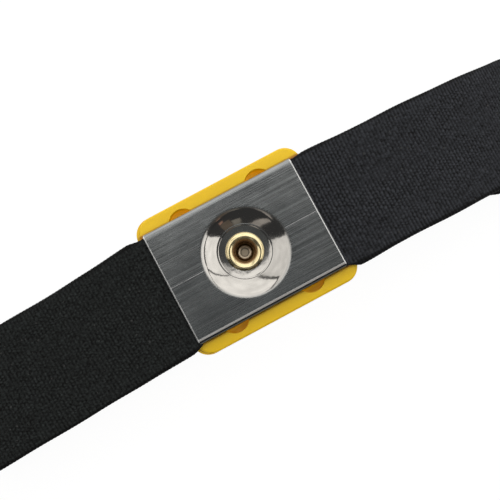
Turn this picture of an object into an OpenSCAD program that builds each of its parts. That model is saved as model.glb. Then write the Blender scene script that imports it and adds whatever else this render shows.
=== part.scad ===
// Grounding wrist strap: an elastic loop closed by a plastic buckle.
// The loop lies flat on a table, turned so that the steel skin plate faces up.
// Origin: on the table under the snap stud's axis. +X runs along the loop, +Z points up.

/* [Webbing] */
// Width of the elastic webbing where it lies free
band_w = 20; // [18:0.5:26]
// Thickness of the webbing
band_t = 1.3; // [1.1:0.1:1.5]
// How much narrower the skin plate is than the free webbing
band_squeeze = 0.3; // [0.2:0.1:1]
// Sideways shift of the webbing where it leaves the plate
band_shift = 0.35; // [0:0.05:0.6]
// How far the left stretch turns off the plate's length, in degrees
left_turn = 2.7; // [0:0.1:4]
// How far the right stretch turns off the plate's length, in degrees
right_turn = 0.4; // [0:0.1:4]

/* [Loop] */
// Height of the skin face above the table
loop_h = 20; // [19:0.5:26]
// Straight run from the plate's left end to the left fold
left_run = 36.6; // [30:0.5:60]
// Reach from the plate's right end to the right fold
right_run = 46; // [38:0.5:50]
// Radius at which the right stretch curves down to the fold
right_bend_r = 85; // [78:1:120]
// Length of the loose tail beyond the buckle
tail_l = 26; // [16:0.5:30]
// Length of the hem folded back at the tail's end
hem_l = 7; // [5:0.5:9]

/* [Skin plate] */
// Length of the plate along the webbing
plate_l = 26.7; // [26:0.1:34]
// Thickness of the plate's sheet
plate_t = 0.5; // [0.4:0.05:0.6]
// Outer radius of the bend along the plate's long edges
bend_r = 0.7; // [0.65:0.05:0.9]
// Depth of the folded flanges below the skin face
flange_h = 2.4; // [2.2:0.05:2.5]
// Radius of the dish at its rim
dish_r = 7.4; // [7:0.1:7.6]
// Radius of the dish's flat floor
dish_floor_r = 4.15; // [3.8:0.05:4.4]
// Radius of the rolled shoulder at the dish's rim
shoulder_r = 1; // [0.6:0.1:1.2]
// Steepest slope of the dish's wall, in degrees
dish_slope = 33; // [31:1:35]
// Width of each tab
tab_w = 2.4; // [2:0.1:2.6]
// How far the tabs reach into the housing below the well floors
tab_grip = 0.8; // [0.5:0.1:1]

/* [Rivet] */
// Radius of the rivet's shank
shank_r = 2; // [1.8:0.05:2.1]
// Radius of the rivet's bore
rivet_bore_r = 1.65; // [1.5:0.05:1.7]
// Outer radius of the rolled rim
roll_r = 3.1; // [2.9:0.05:3.2]
// Radius of the roll's section
roll_section_r = 0.58; // [0.54:0.01:0.64]
// Depth of the bore below the skin face
rivet_bore_depth = 3.9; // [3.5:0.1:5.6]
// Radius of the rivet's head
head_r = 2.9; // [2.6:0.05:3]
// Thickness of the rivet's head
head_t = 0.8; // [0.6:0.05:1]

/* [Snap stud] */
// Radius of the stud's head, the part a snap socket grips
stud_r = 5; // [4.8:0.05:5.1]
// Radius of the groove behind the head
stud_neck_r = 4.55; // [4.4:0.05:4.65]
// Radius of the stud's base flange
stud_base_r = 6.2; // [6:0.05:6.3]
// Height of the stud over the housing
stud_h = 3.6; // [3.4:0.1:4.2]
// Height of the stud's straight gripping band
stud_band_h = 1.2; // [1:0.1:1.3]
// Sheet thickness of the stud
stud_t = 0.45; // [0.4:0.05:0.5]

/* [Housing] */
// Thickness of the housing, from the webbing's bed to the outer face
housing_h = 4.55; // [4.5:0.05:5.2]
// How far the housing stands out beyond the plate's long edges
rim_w = 2.3; // [1.9:0.05:2.6]
// How far the housing stands out beyond the plate's ends
end_w = 1.45; // [1.2:0.05:1.6]
// How far the housing sits off the plate's middle, towards the clamp
housing_shift = 0.35; // [0:0.05:0.5]
// Corner radius of the housing
corner_r = 2.8; // [2.3:0.1:3]
// Edge rounding of the outer face
edge_r = 1.1; // [0.8:0.05:1.1]
// Edge rounding of the bed side
bed_edge_r = 0.35; // [0.2:0.05:0.4]
// Radius of the four tab wells
well_r = 2.4; // [2.1:0.05:2.5]
// Depth of the wells
well_depth = 2.5; // [2.2:0.1:2.6]
// Distance of the wells from the middle, along the plate
well_x = 6.9; // [6.8:0.05:7]
// How far the wells show beyond the plate's long edges
well_show = 1.2; // [1:0.05:1.3]

/* [Clamp] */
// Width of the crossbar that the webbing turns round, along the plate
bar_w = 2.8; // [2.6:0.1:3]
// Thickness of the crossbar
bar_h = 2.1; // [1.9:0.1:2.3]
// Radius of the crossbar's rounded corners
bar_r = 0.5; // [0.4:0.05:0.8]
// Radius of the hinge pin
pin_r = 0.65; // [0.6:0.05:0.75]
// Distance of the hinge pin from the middle
pin_x = 9.4; // [9.3:0.05:9.5]
// Height of the hinge pin over the housing's outer face
pin_up = 0.8; // [0.75:0.05:0.9]
// Radius of the lid's hinge barrel
barrel_r = 1.15; // [1.1:0.05:1.2]
// How far the closed lid stands out of the outer face
lid_out = 0.5; // [0.4:0.05:0.6]
// Height of the lid's teeth
tooth_h = 0.4; // [0.3:0.05:0.45]
// Distance from tooth to tooth
tooth_pitch = 0.8; // [0.7:0.05:0.9]
// Number of teeth
tooth_n = 3; // [2:1:3]
// Length of the lid's finger lip beyond the housing
lip_l = 0.7; // [0.5:0.1:1]
// Width of the finger lip
lip_w = 12; // [10:0.5:14]

/* [Hidden] */

// Between layers that lie on each other
lay_gap = 0.02;
// Beside pieces that slip into a groove or channel
side_gap = 0.1;
// Round pieces that turn or slide on each other
run_gap = 0.05;
// Round the pressed hinge pin
press_gap = 0.02;
// Round the closed lid
lid_gap = 0.15;
// Behind the webbing in its slot, and on both its sides together
slot_room = 0.2;
slot_side = 0.5;
// How far cuts run past what they cut
cut = 1;
// How far joined shapes run into each other, and straight ones into curved ones
tie = 0.05;
run_on = 0.001;

// Smoothness of round pieces
$fn = 64;
arc_n = 8;

// Heights, from the skin face down
skin_z = loop_h;
plate_w = band_w - band_squeeze;
under_z = skin_z - plate_t;
band_z = under_z - lay_gap - band_t / 2;
bed_z = band_z - band_t / 2 - lay_gap;
dish_depth = under_z - bed_z;
outer_z = bed_z - housing_h;
well_z = bed_z - well_depth;

// Webbing between the flanges
inner_w = plate_w - 2 * plate_t - 2 * side_gap;
exit_x = plate_l / 2;

// Loop geometry in the plane of the webbing's length and height
left_fold_r = (band_z - band_t / 2) / 2;
right_angle = asin(right_run / right_bend_r);
right_end_z = band_z - right_bend_r * (1 - cos(right_angle));
right_fold_r = (right_end_z - band_t / 2) / (1 + cos(right_angle));
right_fold_x = right_run - right_fold_r * sin(right_angle);

// Housing
housing_l = plate_l + 2 * end_w;
housing_w = plate_w + 2 * rim_w;
clamp_end_x = housing_l / 2 + housing_shift;
lip_step = 0.5;
well_y = plate_w / 2 + well_show - well_r;
groove_out = plate_w / 2 + side_gap;
groove_in = plate_w / 2 - plate_t - side_gap;

// Crossbar, slot and the tail's level
bar_x = clamp_end_x - bar_w;
turn_r = bar_r + run_gap + band_t / 2;
upper_turn_z = bed_z - bar_r;
upper_turn_r = band_z - upper_turn_z;
turn_x = bar_x + bar_r;
slot_x = turn_x - turn_r - band_t / 2 - slot_room;
slot_w = inner_w + slot_side;
bar_z = bed_z - bar_h;
lower_turn_z = bar_z + bar_r;
tail_z = bar_z - run_gap - band_t / 2;
tail_bend_r = right_bend_r - (band_z - tail_z);

// Lid
pin_z = outer_z + pin_up;
lid_top_z = tail_z - band_t / 2 - run_gap - tooth_h;
lid_bottom_z = outer_z - lid_out;
lid_w = band_w + 2 * side_gap;
barrel_web = 0.2;
lid_body_x = pin_x + barrel_r + barrel_web;
lid_reach = 0.3;
lid_end_x = clamp_end_x + lid_reach;
lip_share = 0.6;
neck_step = 0.3;
neck_w = inner_w - 2 * neck_step;
swing_room = 0.2;
swing_r = pin_z - lid_bottom_z + swing_room;
pin_inset = 0.6;
pin_l = housing_w - 2 * pin_inset;
detent_r = 0.5;
detent_in = 1.3;
detent_out = 0.1;
detent_x = lid_end_x - detent_in;
detent_z = (lid_top_z + lid_bottom_z) / 2;

// Thread of the hem
thread_r = 0.18;
stitch_l = 1.6;
stitch_pitch = 2.1;
stitch_n = 8;
// Where the two rows lie, as shares of the hem from its folded end
stitch_rows = [0.3, 0.75];

// Points on an arc round [cx, cy] from angle a to angle b
function arc(cx, cy, r, a, b, n = arc_n) =
    [for (i = [0:n]) [cx + r * cos(a + (b - a) * i / n), cy + r * sin(a + (b - a) * i / n)]];

// Outline with four rounded corners, from exact squares and circles
module round_rect(l, w, r) {
    square([l - 2 * r, w], center = true);
    square([l, w - 2 * r], center = true);
    for (x = [-1, 1])
        for (y = [-1, 1])
            translate([x * (l / 2 - r), y * (w / 2 - r)])
                circle(r);
}

// Block with rounded upright corners and a rounded edge of radius e round its bottom
module soft_block(l, w, h, r, e) {
    translate([0, 0, e])
        linear_extrude(h - e)
            round_rect(l, w, r);
    linear_extrude(h)
        round_rect(l - 2 * e, w - 2 * e, r - e);
    for (s = [-1, 1]) {
        translate([0, s * (w / 2 - e), e])
            rotate([0, 90, 0])
                cylinder(r = e, h = l - 2 * r, center = true);
        translate([s * (l / 2 - e), 0, e])
            rotate([90, 0, 0])
                cylinder(r = e, h = w - 2 * r, center = true);
        for (t = [-1, 1])
            translate([s * (l / 2 - r), t * (w / 2 - r), e])
                rotate_extrude() {
                    translate([0, -e])
                        square([r - e, e]);
                    translate([r - e, 0])
                        intersection() {
                            circle(e);
                            translate([0, -e])
                                square(e);
                        }
                }
    }
}

// Stretch of webbing: an outline in X and Z, as wide as w, across its length
module webbing(w) {
    color("#26282a")
        rotate([90, 0, 0])
            linear_extrude(w, center = true)
                children();
}

// Frames of the left and right stretches: their own X runs along the webbing
module left_frame() {
    translate([-exit_x, -band_shift, 0])
        rotate([0, 0, left_turn])
            children();
}

module right_frame() {
    translate([exit_x, -band_shift, 0])
        rotate([0, 0, -right_turn])
            children();
}

// Height of the dish's surface as a profile from its floor to its rim
wall_foot = shoulder_r * (1 - cos(dish_slope));
rim_in = dish_r - shoulder_r * sin(dish_slope);
wall_run = rim_in - dish_floor_r;
wall_drop = dish_depth - wall_foot;
foot_slope = 2 * atan(wall_drop / wall_run) - dish_slope;
wall_r = wall_run / (sin(dish_slope) - sin(foot_slope));
dish_curve = concat(
    [[0, -dish_depth]],
    arc(dish_floor_r - wall_r * sin(foot_slope), -dish_depth + wall_r * cos(foot_slope), wall_r,
        foot_slope - 90, dish_slope - 90),
    arc(dish_r, -shoulder_r, shoulder_r, 90 + dish_slope, 90));

module skin_plate() {
    color("#9a9c9b")
        difference() {
            union() {
                intersection() {
                    difference() {
                        plate_shell(plate_w, bend_r, 0);
                        plate_shell(plate_w - 2 * plate_t, bend_r - plate_t, plate_t);
                    }
                    translate([0, 0, skin_z - flange_h / 2])
                        cube([plate_l, plate_w, flange_h], center = true);
                }
                plate_tabs();
                translate([0, 0, skin_z])
                    rotate_extrude()
                        polygon(concat(
                            [for (p = dish_curve) [p[0], p[1] - plate_t]],
                            [[dish_r, 0], [0, 0]]));
            }
            translate([0, 0, skin_z])
                rotate_extrude()
                    polygon(concat(dish_curve, [[dish_r, cut], [0, cut]]));
            translate([0, 0, bed_z - cut])
                cylinder(r = shank_r + run_gap, h = dish_depth + plate_t + cut);
        }
}

// Solid channel section with rounded upper edges, d below the skin face
module plate_shell(w, r, d) {
    translate([0, 0, skin_z - d])
        rotate([90, 0, 90])
            linear_extrude(plate_l + 2 * d, center = true) {
                translate([-w / 2 + r, -r])
                    square([w - 2 * r, r]);
                translate([-w / 2, -flange_h - cut])
                    square([w, flange_h + cut - r]);
                for (s = [-1, 1])
                    translate([s * (w / 2 - r), -r])
                        circle(r);
            }
}

// Tabs that run down the wells and bite into the housing
module plate_tabs() {
    foot_z = well_z - tab_grip;
    top_z = skin_z - (bend_r + flange_h) / 2;
    for (x = [-1, 1])
        for (y = [-1, 1])
            translate([x * well_x, y * (plate_w - plate_t) / 2, (foot_z + top_z) / 2])
                cube([tab_w, plate_t, top_z - foot_z], center = true);
}

module contact_rivet() {
    floor_z = -dish_depth;
    head_top = outer_z - stud_t - skin_z;
    foot = -rivet_bore_depth;
    button_r = 0.95;
    button_h = 0.45;
    button_round = 0.25;
    roll_lift = 0.08;
    roll_web = 0.3;
    funnel_r = rivet_bore_r + 0.35;
    funnel_foot = floor_z - 0.15;
    color("#c9a64a")
        translate([0, 0, skin_z])
            rotate_extrude()
                difference() {
                    union() {
                        translate([0, head_top - cut / 2])
                            square([shank_r, floor_z - head_top + cut / 2]);
                        translate([roll_r - roll_section_r, floor_z + roll_lift])
                            circle(roll_section_r, $fn = 48);
                        translate([0, floor_z - cut / 4])
                            square([roll_r - roll_section_r, cut / 4 + roll_web]);
                        translate([0, head_top - head_t])
                            square([head_r, head_t]);
                    }
                    translate([shank_r, floor_z - 2 * cut])
                        square([2 * roll_r, 2 * cut]);
                    polygon(concat(
                        [[0, foot + button_h]],
                        arc(button_r - button_round, foot + button_h - button_round,
                            button_round, 90, 0),
                        [[button_r, foot], [rivet_bore_r, foot], [rivet_bore_r, funnel_foot],
                            [funnel_r, floor_z + cut], [0, floor_z + cut]]));
                    translate([-2 * cut, head_top - 2 * head_t])
                        square([2 * cut, 3 * rivet_bore_depth]);
                }
}

module snap_stud() {
    round_r = 0.9;
    lip_r = 0.4;
    neck_h = 0.45;
    in_r = head_r + lid_gap;
    band_top = stud_h - round_r;
    color("#c8c6bf")
        translate([0, 0, outer_z])
            mirror([0, 0, 1])
                rotate_extrude()
                    polygon(concat(
                        [[shank_r + run_gap, 0], [stud_base_r, 0], [stud_base_r, stud_t],
                            [stud_neck_r, stud_t], [stud_neck_r, stud_t + neck_h],
                            [stud_r, band_top - stud_band_h], [stud_r, band_top]],
                        arc(stud_r - round_r, band_top, round_r, 0, 90),
                        arc(in_r + lip_r, stud_h - lip_r, lip_r, 90, 180),
                        [[in_r, stud_t], [shank_r + run_gap, stud_t]]));
}

module housing() {
    color("#f4c81e")
        difference() {
            union() {
                translate([housing_shift, 0, outer_z])
                    soft_block(housing_l, housing_w, housing_h - lip_step, corner_r, edge_r);
                translate([housing_shift + lip_step / 2, 0, bed_z])
                    mirror([0, 0, 1])
                        soft_block(housing_l - lip_step, housing_w, housing_h / 2, corner_r,
                            bed_edge_r);
            }
            tab_wells();
            flange_grooves();
            clamp_space();
            pin_hole();
            translate([0, 0, outer_z - cut])
                cylinder(r = shank_r + run_gap, h = housing_h + 2 * cut);
        }
}

// Four round wells with a blind slot in each floor for the plate's tabs
module tab_wells() {
    for (x = [-1, 1])
        for (y = [-1, 1]) {
            translate([housing_shift + x * well_x, y * well_y, well_z])
                cylinder(r = well_r, h = well_depth + cut);
            translate([x * well_x, y * (plate_w - plate_t) / 2, well_z])
                cube([tab_w + side_gap, plate_t + side_gap, 2 * (tab_grip + side_gap)],
                    center = true);
        }
}

// Grooves in the bed for the plate's flanges
module flange_grooves() {
    groove_z = skin_z - flange_h - side_gap;
    for (y = [-1, 1])
        translate([0, y * (groove_out + groove_in) / 2, (groove_z + bed_z + cut) / 2])
            cube([plate_l + 2 * side_gap, groove_out - groove_in, bed_z + cut - groove_z],
                center = true);
}

// Slot beside the crossbar, the lid's recess and the space its barrel swings in
module clamp_space() {
    recess_x = lid_body_x - lid_gap;
    recess_w = lid_w + 2 * lid_gap;
    translate([slot_x, -slot_w / 2, outer_z - cut])
        cube([bar_x - slot_x, slot_w, housing_h + 2 * cut]);
    difference() {
        translate([slot_x, -slot_w / 2, bar_z - cut])
            cube([bar_x + bar_r - slot_x, slot_w, bar_h + 2 * cut]);
        bar_core();
    }
    translate([recess_x, -recess_w / 2, outer_z - cut])
        cube([housing_l, recess_w, bar_z - outer_z + cut]);
    translate([pin_x, 0, pin_z])
        rotate([90, 0, 0])
            cylinder(r = swing_r, h = neck_w + 2 * lid_gap, center = true);
    translate([pin_x - swing_r, -neck_w / 2 - lid_gap, outer_z - cut])
        cube([swing_r + lid_body_x - pin_x, neck_w + 2 * lid_gap, pin_z - outer_z + cut]);
    for (s = [-1, 1])
        translate([detent_x, s * (recess_w / 2 - run_gap), detent_z])
            sphere(detent_r);
}

// The crossbar's section with its two rounded corners on the slot side
module bar_core() {
    translate([bar_x + bar_r, -slot_w / 2 - cut, bar_z])
        cube([bar_w, slot_w + 2 * cut, bar_h]);
    translate([bar_x, -slot_w / 2 - cut, bar_z + bar_r])
        cube([bar_w, slot_w + 2 * cut, bar_h - 2 * bar_r]);
    for (z = [bar_z + bar_r, bed_z - bar_r])
        translate([bar_x + bar_r, 0, z])
            rotate([90, 0, 0])
                cylinder(r = bar_r, h = slot_w + 2 * cut, center = true);
}

module pin_hole() {
    translate([pin_x, 0, pin_z])
        rotate([90, 0, 0])
            cylinder(r = pin_r + press_gap, h = housing_w + 2 * cut, center = true);
}

module hinge_pin() {
    color("#b4b6b8")
        translate([pin_x, 0, pin_z])
            rotate([90, 0, 0])
                cylinder(r = pin_r, h = pin_l, center = true);
}

module clamp_lid() {
    lid_h = lid_top_z - lid_bottom_z;
    color("#f4c81e")
        difference() {
            union() {
                translate([pin_x, 0, pin_z])
                    rotate([90, 0, 0])
                        cylinder(r = barrel_r, h = neck_w, center = true);
                translate([pin_x, -neck_w / 2, lid_bottom_z])
                    cube([lid_body_x - pin_x + cut, neck_w, lid_h]);
                translate([lid_body_x, -lid_w / 2 + corner_r / 2, lid_bottom_z])
                    cube([lid_end_x - lid_body_x, lid_w - corner_r, lid_h]);
                translate([lid_body_x, -lid_w / 2, lid_bottom_z])
                    cube([lid_end_x - lid_body_x - corner_r / 2, lid_w, lid_h]);
                for (s = [-1, 1])
                    translate([lid_end_x - corner_r / 2, s * (lid_w - corner_r) / 2, lid_bottom_z])
                        cylinder(r = corner_r / 2, h = lid_h);
                translate([lid_end_x - cut, -lip_w / 2, lid_bottom_z])
                    cube([lip_l + cut, lip_w, lid_h * lip_share]);
                lid_teeth();
                lid_detents();
            }
            translate([pin_x, 0, pin_z])
                rotate([90, 0, 0])
                    cylinder(r = pin_r + run_gap, h = lid_w + 2 * cut, center = true);
        }
}

// Ridges across the lid that bite into the tail
module lid_teeth() {
    first_x = bar_x + bar_w / 2 - tooth_pitch * (tooth_n - 1) / 2;
    half = tooth_pitch / 2;
    tip = 0.1;
    for (i = [0:tooth_n - 1])
        translate([first_x + i * tooth_pitch, 0, lid_top_z])
            rotate([90, 0, 0])
                linear_extrude(inner_w - 4 * side_gap, center = true)
                    polygon([[-half, -2 * tie], [half, -2 * tie], [half, 0], [tip, tooth_h],
                        [-tip, tooth_h], [-half, 0]]);
}

// Small bumps that hold the lid shut in the housing's dimples
module lid_detents() {
    for (s = [-1, 1])
        translate([detent_x, s * (lid_w / 2 - detent_r + detent_out), detent_z])
            sphere(detent_r);
}

// The fixed end lies between plate and bed, and the dish plugs the hole in it
module band_fixed_end() {
    short_of_slot = 1;
    end_x = slot_x - short_of_slot;
    difference() {
        translate([0, 0, band_z])
            webbing(inner_w)
                translate([-exit_x, -band_t / 2])
                    square([exit_x + end_x, band_t]);
        color("#26282a")
            translate([0, 0, band_z - band_t])
                cylinder(r = dish_r + side_gap, h = 2 * band_t);
    }
}

module band_upper_left() {
    difference() {
        left_frame()
            translate([0, 0, band_z])
                webbing(band_w)
                    translate([-left_run, -band_t / 2])
                        square([left_run + cut, band_t]);
        color("#26282a")
            translate([-exit_x, -band_w, 0])
                cube([exit_x, 2 * band_w, 2 * loop_h]);
    }
}

module band_left_fold() {
    left_frame()
        webbing(band_w)
            difference() {
                translate([-left_run, band_z - left_fold_r])
                    circle(left_fold_r + band_t / 2);
                translate([-left_run, band_z - left_fold_r])
                    circle(left_fold_r - band_t / 2);
                translate([-left_run, -cut])
                    square([2 * left_run, 2 * loop_h]);
            }
}

// The lower layer lies flat on the table and bends with the two stretches in plan
module band_lower() {
    lt = left_turn;
    rt = -right_turn;
    half = band_w / 2;
    left_end = [-exit_x - left_run * cos(lt), -band_shift - left_run * sin(lt)];
    right_end = [exit_x + right_fold_x * cos(rt), -band_shift + right_fold_x * sin(rt)];
    color("#26282a")
        linear_extrude(band_t)
            polygon([
                left_end + half * [-sin(lt), cos(lt)],
                left_end - half * [-sin(lt), cos(lt)],
                [-exit_x + half * tan(lt / 2), -band_shift - half],
                [exit_x + half * tan(rt / 2), -band_shift - half],
                right_end - half * [-sin(rt), cos(rt)],
                right_end + half * [-sin(rt), cos(rt)],
                [exit_x - half * tan(rt / 2), -band_shift + half],
                [-exit_x - half * tan(lt / 2), -band_shift + half]]);
}

module band_right_fold() {
    from_a = 90 - right_angle;
    right_frame()
        webbing(band_w)
            translate([right_fold_x, right_fold_r + band_t / 2])
                difference() {
                    circle(right_fold_r + band_t / 2);
                    circle(right_fold_r - band_t / 2);
                    polygon([[0, -loop_h], [0, 0], loop_h * 2 * [cos(from_a), sin(from_a)],
                        [-2 * loop_h, 2 * loop_h], [-2 * loop_h, -loop_h]]);
                }
}

// Section of a stretch that curves down round a centre under its start
module curved_run(r, a, x0) {
    intersection() {
        difference() {
            translate([x0, -r])
                circle(r + band_t / 2, $fn = 256);
            translate([x0, -r])
                circle(r - band_t / 2, $fn = 256);
        }
        translate([x0, -r])
            polygon([[0, 0], [0, 2 * r], [2 * r * tan(a), 2 * r]]);
    }
}

module band_upper_right() {
    difference() {
        right_frame()
            translate([0, 0, band_z])
                webbing(band_w) {
                    curved_run(right_bend_r, right_angle, 0);
                    translate([-cut, -band_t / 2])
                        square([cut + run_on, band_t]);
                }
        color("#26282a")
            translate([0, -band_w, 0])
                cube([exit_x, 2 * band_w, 2 * loop_h]);
    }
}

// From the plate's right end over the crossbar, down the slot and back under it
module band_clamped_end() {
    webbing(inner_w) {
        translate([turn_x, band_z - band_t / 2])
            square([exit_x - turn_x, band_t]);
        translate([turn_x, upper_turn_z])
            quarter_turn(upper_turn_r, 90);
        translate([turn_x - upper_turn_r - band_t / 2, lower_turn_z])
            square([band_t, upper_turn_z - lower_turn_z]);
        translate([turn_x, lower_turn_z])
            quarter_turn(lower_turn_z - tail_z, 180);
        translate([turn_x, tail_z - band_t / 2])
            square([clamp_end_x - turn_x, band_t]);
    }
}

// Quarter ring of webbing with middle radius r, from angle a on
module quarter_turn(r, a) {
    intersection() {
        difference() {
            circle(r + band_t / 2);
            circle(r - band_t / 2);
        }
        rotate(a)
            square(2 * r);
    }
}

module tail_frame() {
    translate([clamp_end_x, -band_shift / 2, 0])
        rotate([0, 0, -right_turn])
            translate([-clamp_end_x, 0, 0])
                children();
}

tail_angle = tail_l / tail_bend_r * 180 / PI;
hem_angle = hem_l / tail_bend_r * 180 / PI;

// Loose tail with its hem folded under
module band_tail() {
    x0 = clamp_end_x;
    hem_r = tail_bend_r - band_t - lay_gap;
    difference() {
        tail_frame()
            translate([0, 0, tail_z])
                webbing(band_w) {
                    curved_run(tail_bend_r, tail_angle, x0);
                    translate([x0 - cut, -band_t / 2])
                        square([cut + run_on, band_t]);
                    translate([0, -band_t - lay_gap])
                        difference() {
                            curved_run(hem_r, tail_angle, x0);
                            translate([x0, -hem_r])
                                polygon([[-1, 0], [-1, 2 * hem_r], [0, 2 * hem_r],
                                    [2 * hem_r * tan(tail_angle - hem_angle), 2 * hem_r]]);
                        }
                    translate([x0, -tail_bend_r])
                        rotate(90 - tail_angle)
                            translate([tail_bend_r - (band_t + lay_gap) / 2, 0])
                                difference() {
                                    circle(band_t + lay_gap / 2);
                                    translate([-2 * band_t, tie])
                                        square([4 * band_t, 2 * band_t]);
                                }
                }
        color("#26282a")
            translate([x0 - 2 * cut, -band_w, 0])
                cube([2 * cut, 2 * band_w, 2 * loop_h]);
    }
}

// Two rows of thread across the hem, lying on its lower face
module hem_stitches() {
    x0 = clamp_end_x;
    face_r = tail_bend_r - 1.5 * band_t - lay_gap - thread_r;
    color("#1b1c1e")
        tail_frame()
            for (row = stitch_rows) {
                a = tail_angle - hem_angle * row;
                translate([x0 + face_r * sin(a), 0, tail_z - tail_bend_r + face_r * cos(a)])
                    for (i = [0:stitch_n - 1])
                        translate([0, (i - (stitch_n - 1) / 2) * stitch_pitch, 0])
                            rotate([90, 0, 0])
                                cylinder(r = thread_r, h = stitch_l, center = true);
            }
}

skin_plate();
contact_rivet();
snap_stud();
housing();
clamp_lid();
hinge_pin();
band_fixed_end();
band_upper_left();
band_left_fold();
band_lower();
band_right_fold();
band_upper_right();
band_clamped_end();
band_tail();
hem_stitches();
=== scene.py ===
"""A grounding wrist strap, dressed round its packed construction.

A loop of black elastic webbing is closed by a yellow moulded buckle. A brushed steel plate with a
polished dish covers the buckle's skin side. A brass rivet in the dish holds the snap stud on the
outer side, where a toothed lid clamps the webbing's loose tail. Sizes are millimetres until they
become a mesh, and the strap lies along X with its skin side up.
"""

import logging
import math
from collections.abc import Callable
from dataclasses import dataclass, field
from enum import Enum
from functools import cache

import bmesh
import bpy
import numpy as np
from mathutils import Matrix, Vector


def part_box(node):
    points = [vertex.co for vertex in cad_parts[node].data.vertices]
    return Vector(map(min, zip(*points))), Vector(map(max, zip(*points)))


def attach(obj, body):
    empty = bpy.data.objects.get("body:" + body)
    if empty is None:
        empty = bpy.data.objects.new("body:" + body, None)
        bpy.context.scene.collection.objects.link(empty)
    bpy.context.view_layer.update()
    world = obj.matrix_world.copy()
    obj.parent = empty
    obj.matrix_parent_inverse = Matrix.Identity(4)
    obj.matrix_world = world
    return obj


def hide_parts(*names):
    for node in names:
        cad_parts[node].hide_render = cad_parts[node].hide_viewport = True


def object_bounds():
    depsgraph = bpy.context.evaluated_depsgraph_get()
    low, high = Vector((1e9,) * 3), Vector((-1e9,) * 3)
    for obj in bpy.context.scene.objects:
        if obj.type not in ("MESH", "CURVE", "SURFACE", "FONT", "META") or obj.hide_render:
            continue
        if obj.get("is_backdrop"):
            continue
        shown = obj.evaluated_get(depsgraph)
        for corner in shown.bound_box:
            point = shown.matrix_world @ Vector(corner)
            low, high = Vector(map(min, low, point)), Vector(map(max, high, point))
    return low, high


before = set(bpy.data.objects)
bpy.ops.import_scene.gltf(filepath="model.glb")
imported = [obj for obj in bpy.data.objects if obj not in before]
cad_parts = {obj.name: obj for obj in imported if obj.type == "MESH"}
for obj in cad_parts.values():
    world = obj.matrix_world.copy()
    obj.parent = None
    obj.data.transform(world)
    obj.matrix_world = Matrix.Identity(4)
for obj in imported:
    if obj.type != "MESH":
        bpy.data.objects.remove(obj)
CAD_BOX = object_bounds()

MM = 0.001
STRIP_UV = "strip"
WHITE = (1.0, 1.0, 1.0)
Array = np.ndarray
Pair = tuple[float, float]
Triple = tuple[float, float, float]
Colour = Triple
log = logging.getLogger("wrist_strap")


# ---------------------------------------------------------------- curves and surfaces


def span(node: str, axis: int) -> Pair:
    """Lowest and highest millimetre of a construction node along one axis."""
    low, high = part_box(node)
    return low[axis] / MM, high[axis] / MM


def smooth(t: Array) -> Array:
    """The cubic 3t^2 - 2t^3 on t held between 0 and 1, flat at both ends."""
    t = np.clip(t, 0.0, 1.0)
    return t * t * (3.0 - 2.0 * t)


def arc(x: float, y: float, r: float, start: float, stop: float, steps: int) -> Array:
    """Points at equal angles on the circle of radius r round (x, y), from start to stop degrees."""
    a = np.radians(np.linspace(start, stop, steps + 1))
    return np.column_stack([x + r * np.cos(a), y + r * np.sin(a)])


def rising_arc(x: float, y: float, run: float, first: float, last: float, steps: int) -> Array:
    """Points of the arc that leaves (x, y) at one slope and has another after a level run.

    Its radius is the run over the difference of the slopes' sines, and its centre lies that far
    square to the first slope.

    Args:
        x: Where the arc starts.
        y: The start's height.
        run: Level distance to its end.
        first: Slope at the start, in degrees.
        last: Slope at the end, in degrees.
        steps: Straight steps in the arc.

    Returns:
        The arc's points, with both ends.
    """
    a, b = math.radians(first), math.radians(last)
    r = run / (math.sin(b) - math.sin(a))
    return arc(x - r * math.sin(a), y + r * math.cos(a), r, first - 90, last - 90, steps)


def rounded(corners: list[Triple], steps: int = 6) -> Array:
    """Closed outline whose corners are arcs tangent to both their sides.

    The arc's centre lies on the corner's bisector, r / sin(half angle) from the corner, and its
    points turn evenly from one tangent point to the other.

    Args:
        corners: x, y and radius of each corner, in order. A radius of 0 keeps the corner.
        steps: Straight steps in each arc.

    Returns:
        The outline's points, without the first one again at the end.
    """
    points = np.array([c[:2] for c in corners], float)
    to_last = np.roll(points, 1, axis=0) - points
    to_next = np.roll(points, -1, axis=0) - points
    out = []
    for point, a, b, (_, _, r) in zip(points, to_last, to_next, corners):
        if r <= 0:
            out.append(point[None])
            continue
        a, b = a / np.linalg.norm(a), b / np.linalg.norm(b)
        half = math.acos(float(np.clip(a @ b, -1, 1))) / 2
        centre = point + (a + b) / np.linalg.norm(a + b) * r / math.sin(half)
        reach = r / math.tan(half)
        start, stop = point + a * reach - centre, point + b * reach - centre
        sweep = math.pi - 2 * half
        t = np.linspace(0, 1, steps + 1)[:, None]
        out.append(centre + (np.sin((1 - t) * sweep) * start + np.sin(t * sweep) * stop) / math.sin(sweep))
    return np.vstack(out)


def stations(marks: list[float], step: float) -> Array:
    """Rising positions through every mark, at most a step apart and even between two marks."""
    pairs = zip(marks, marks[1:])
    parts = [np.linspace(a, b, max(1, math.ceil((b - a) / step)) + 1)[:-1] for a, b in pairs]
    return np.concatenate([*parts, marks[-1:]])


def outline(x: Array, y: Array) -> Array:
    """The rectangle through these stations, round from its +X side, with each corner once.

    Args:
        x: Rising places along it.
        y: Rising places across it.

    Returns:
        Its points, shaped (count, 2).
    """
    return np.vstack([
        np.column_stack([np.full(len(y) - 1, x[-1]), y[:-1]]),
        np.column_stack([x[::-1][:-1], np.full(len(x) - 1, y[-1])]),
        np.column_stack([np.full(len(y) - 1, x[0]), y[::-1][:-1]]),
        np.column_stack([x[:-1], np.full(len(x) - 1, y[0])]),
    ])


def placed(name: str, data: bpy.types.ID) -> bpy.types.Object:
    """A new object in the scene that holds this mesh, lamp or camera."""
    made = bpy.data.objects.new(name, data)
    bpy.context.scene.collection.objects.link(made)
    return made


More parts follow.
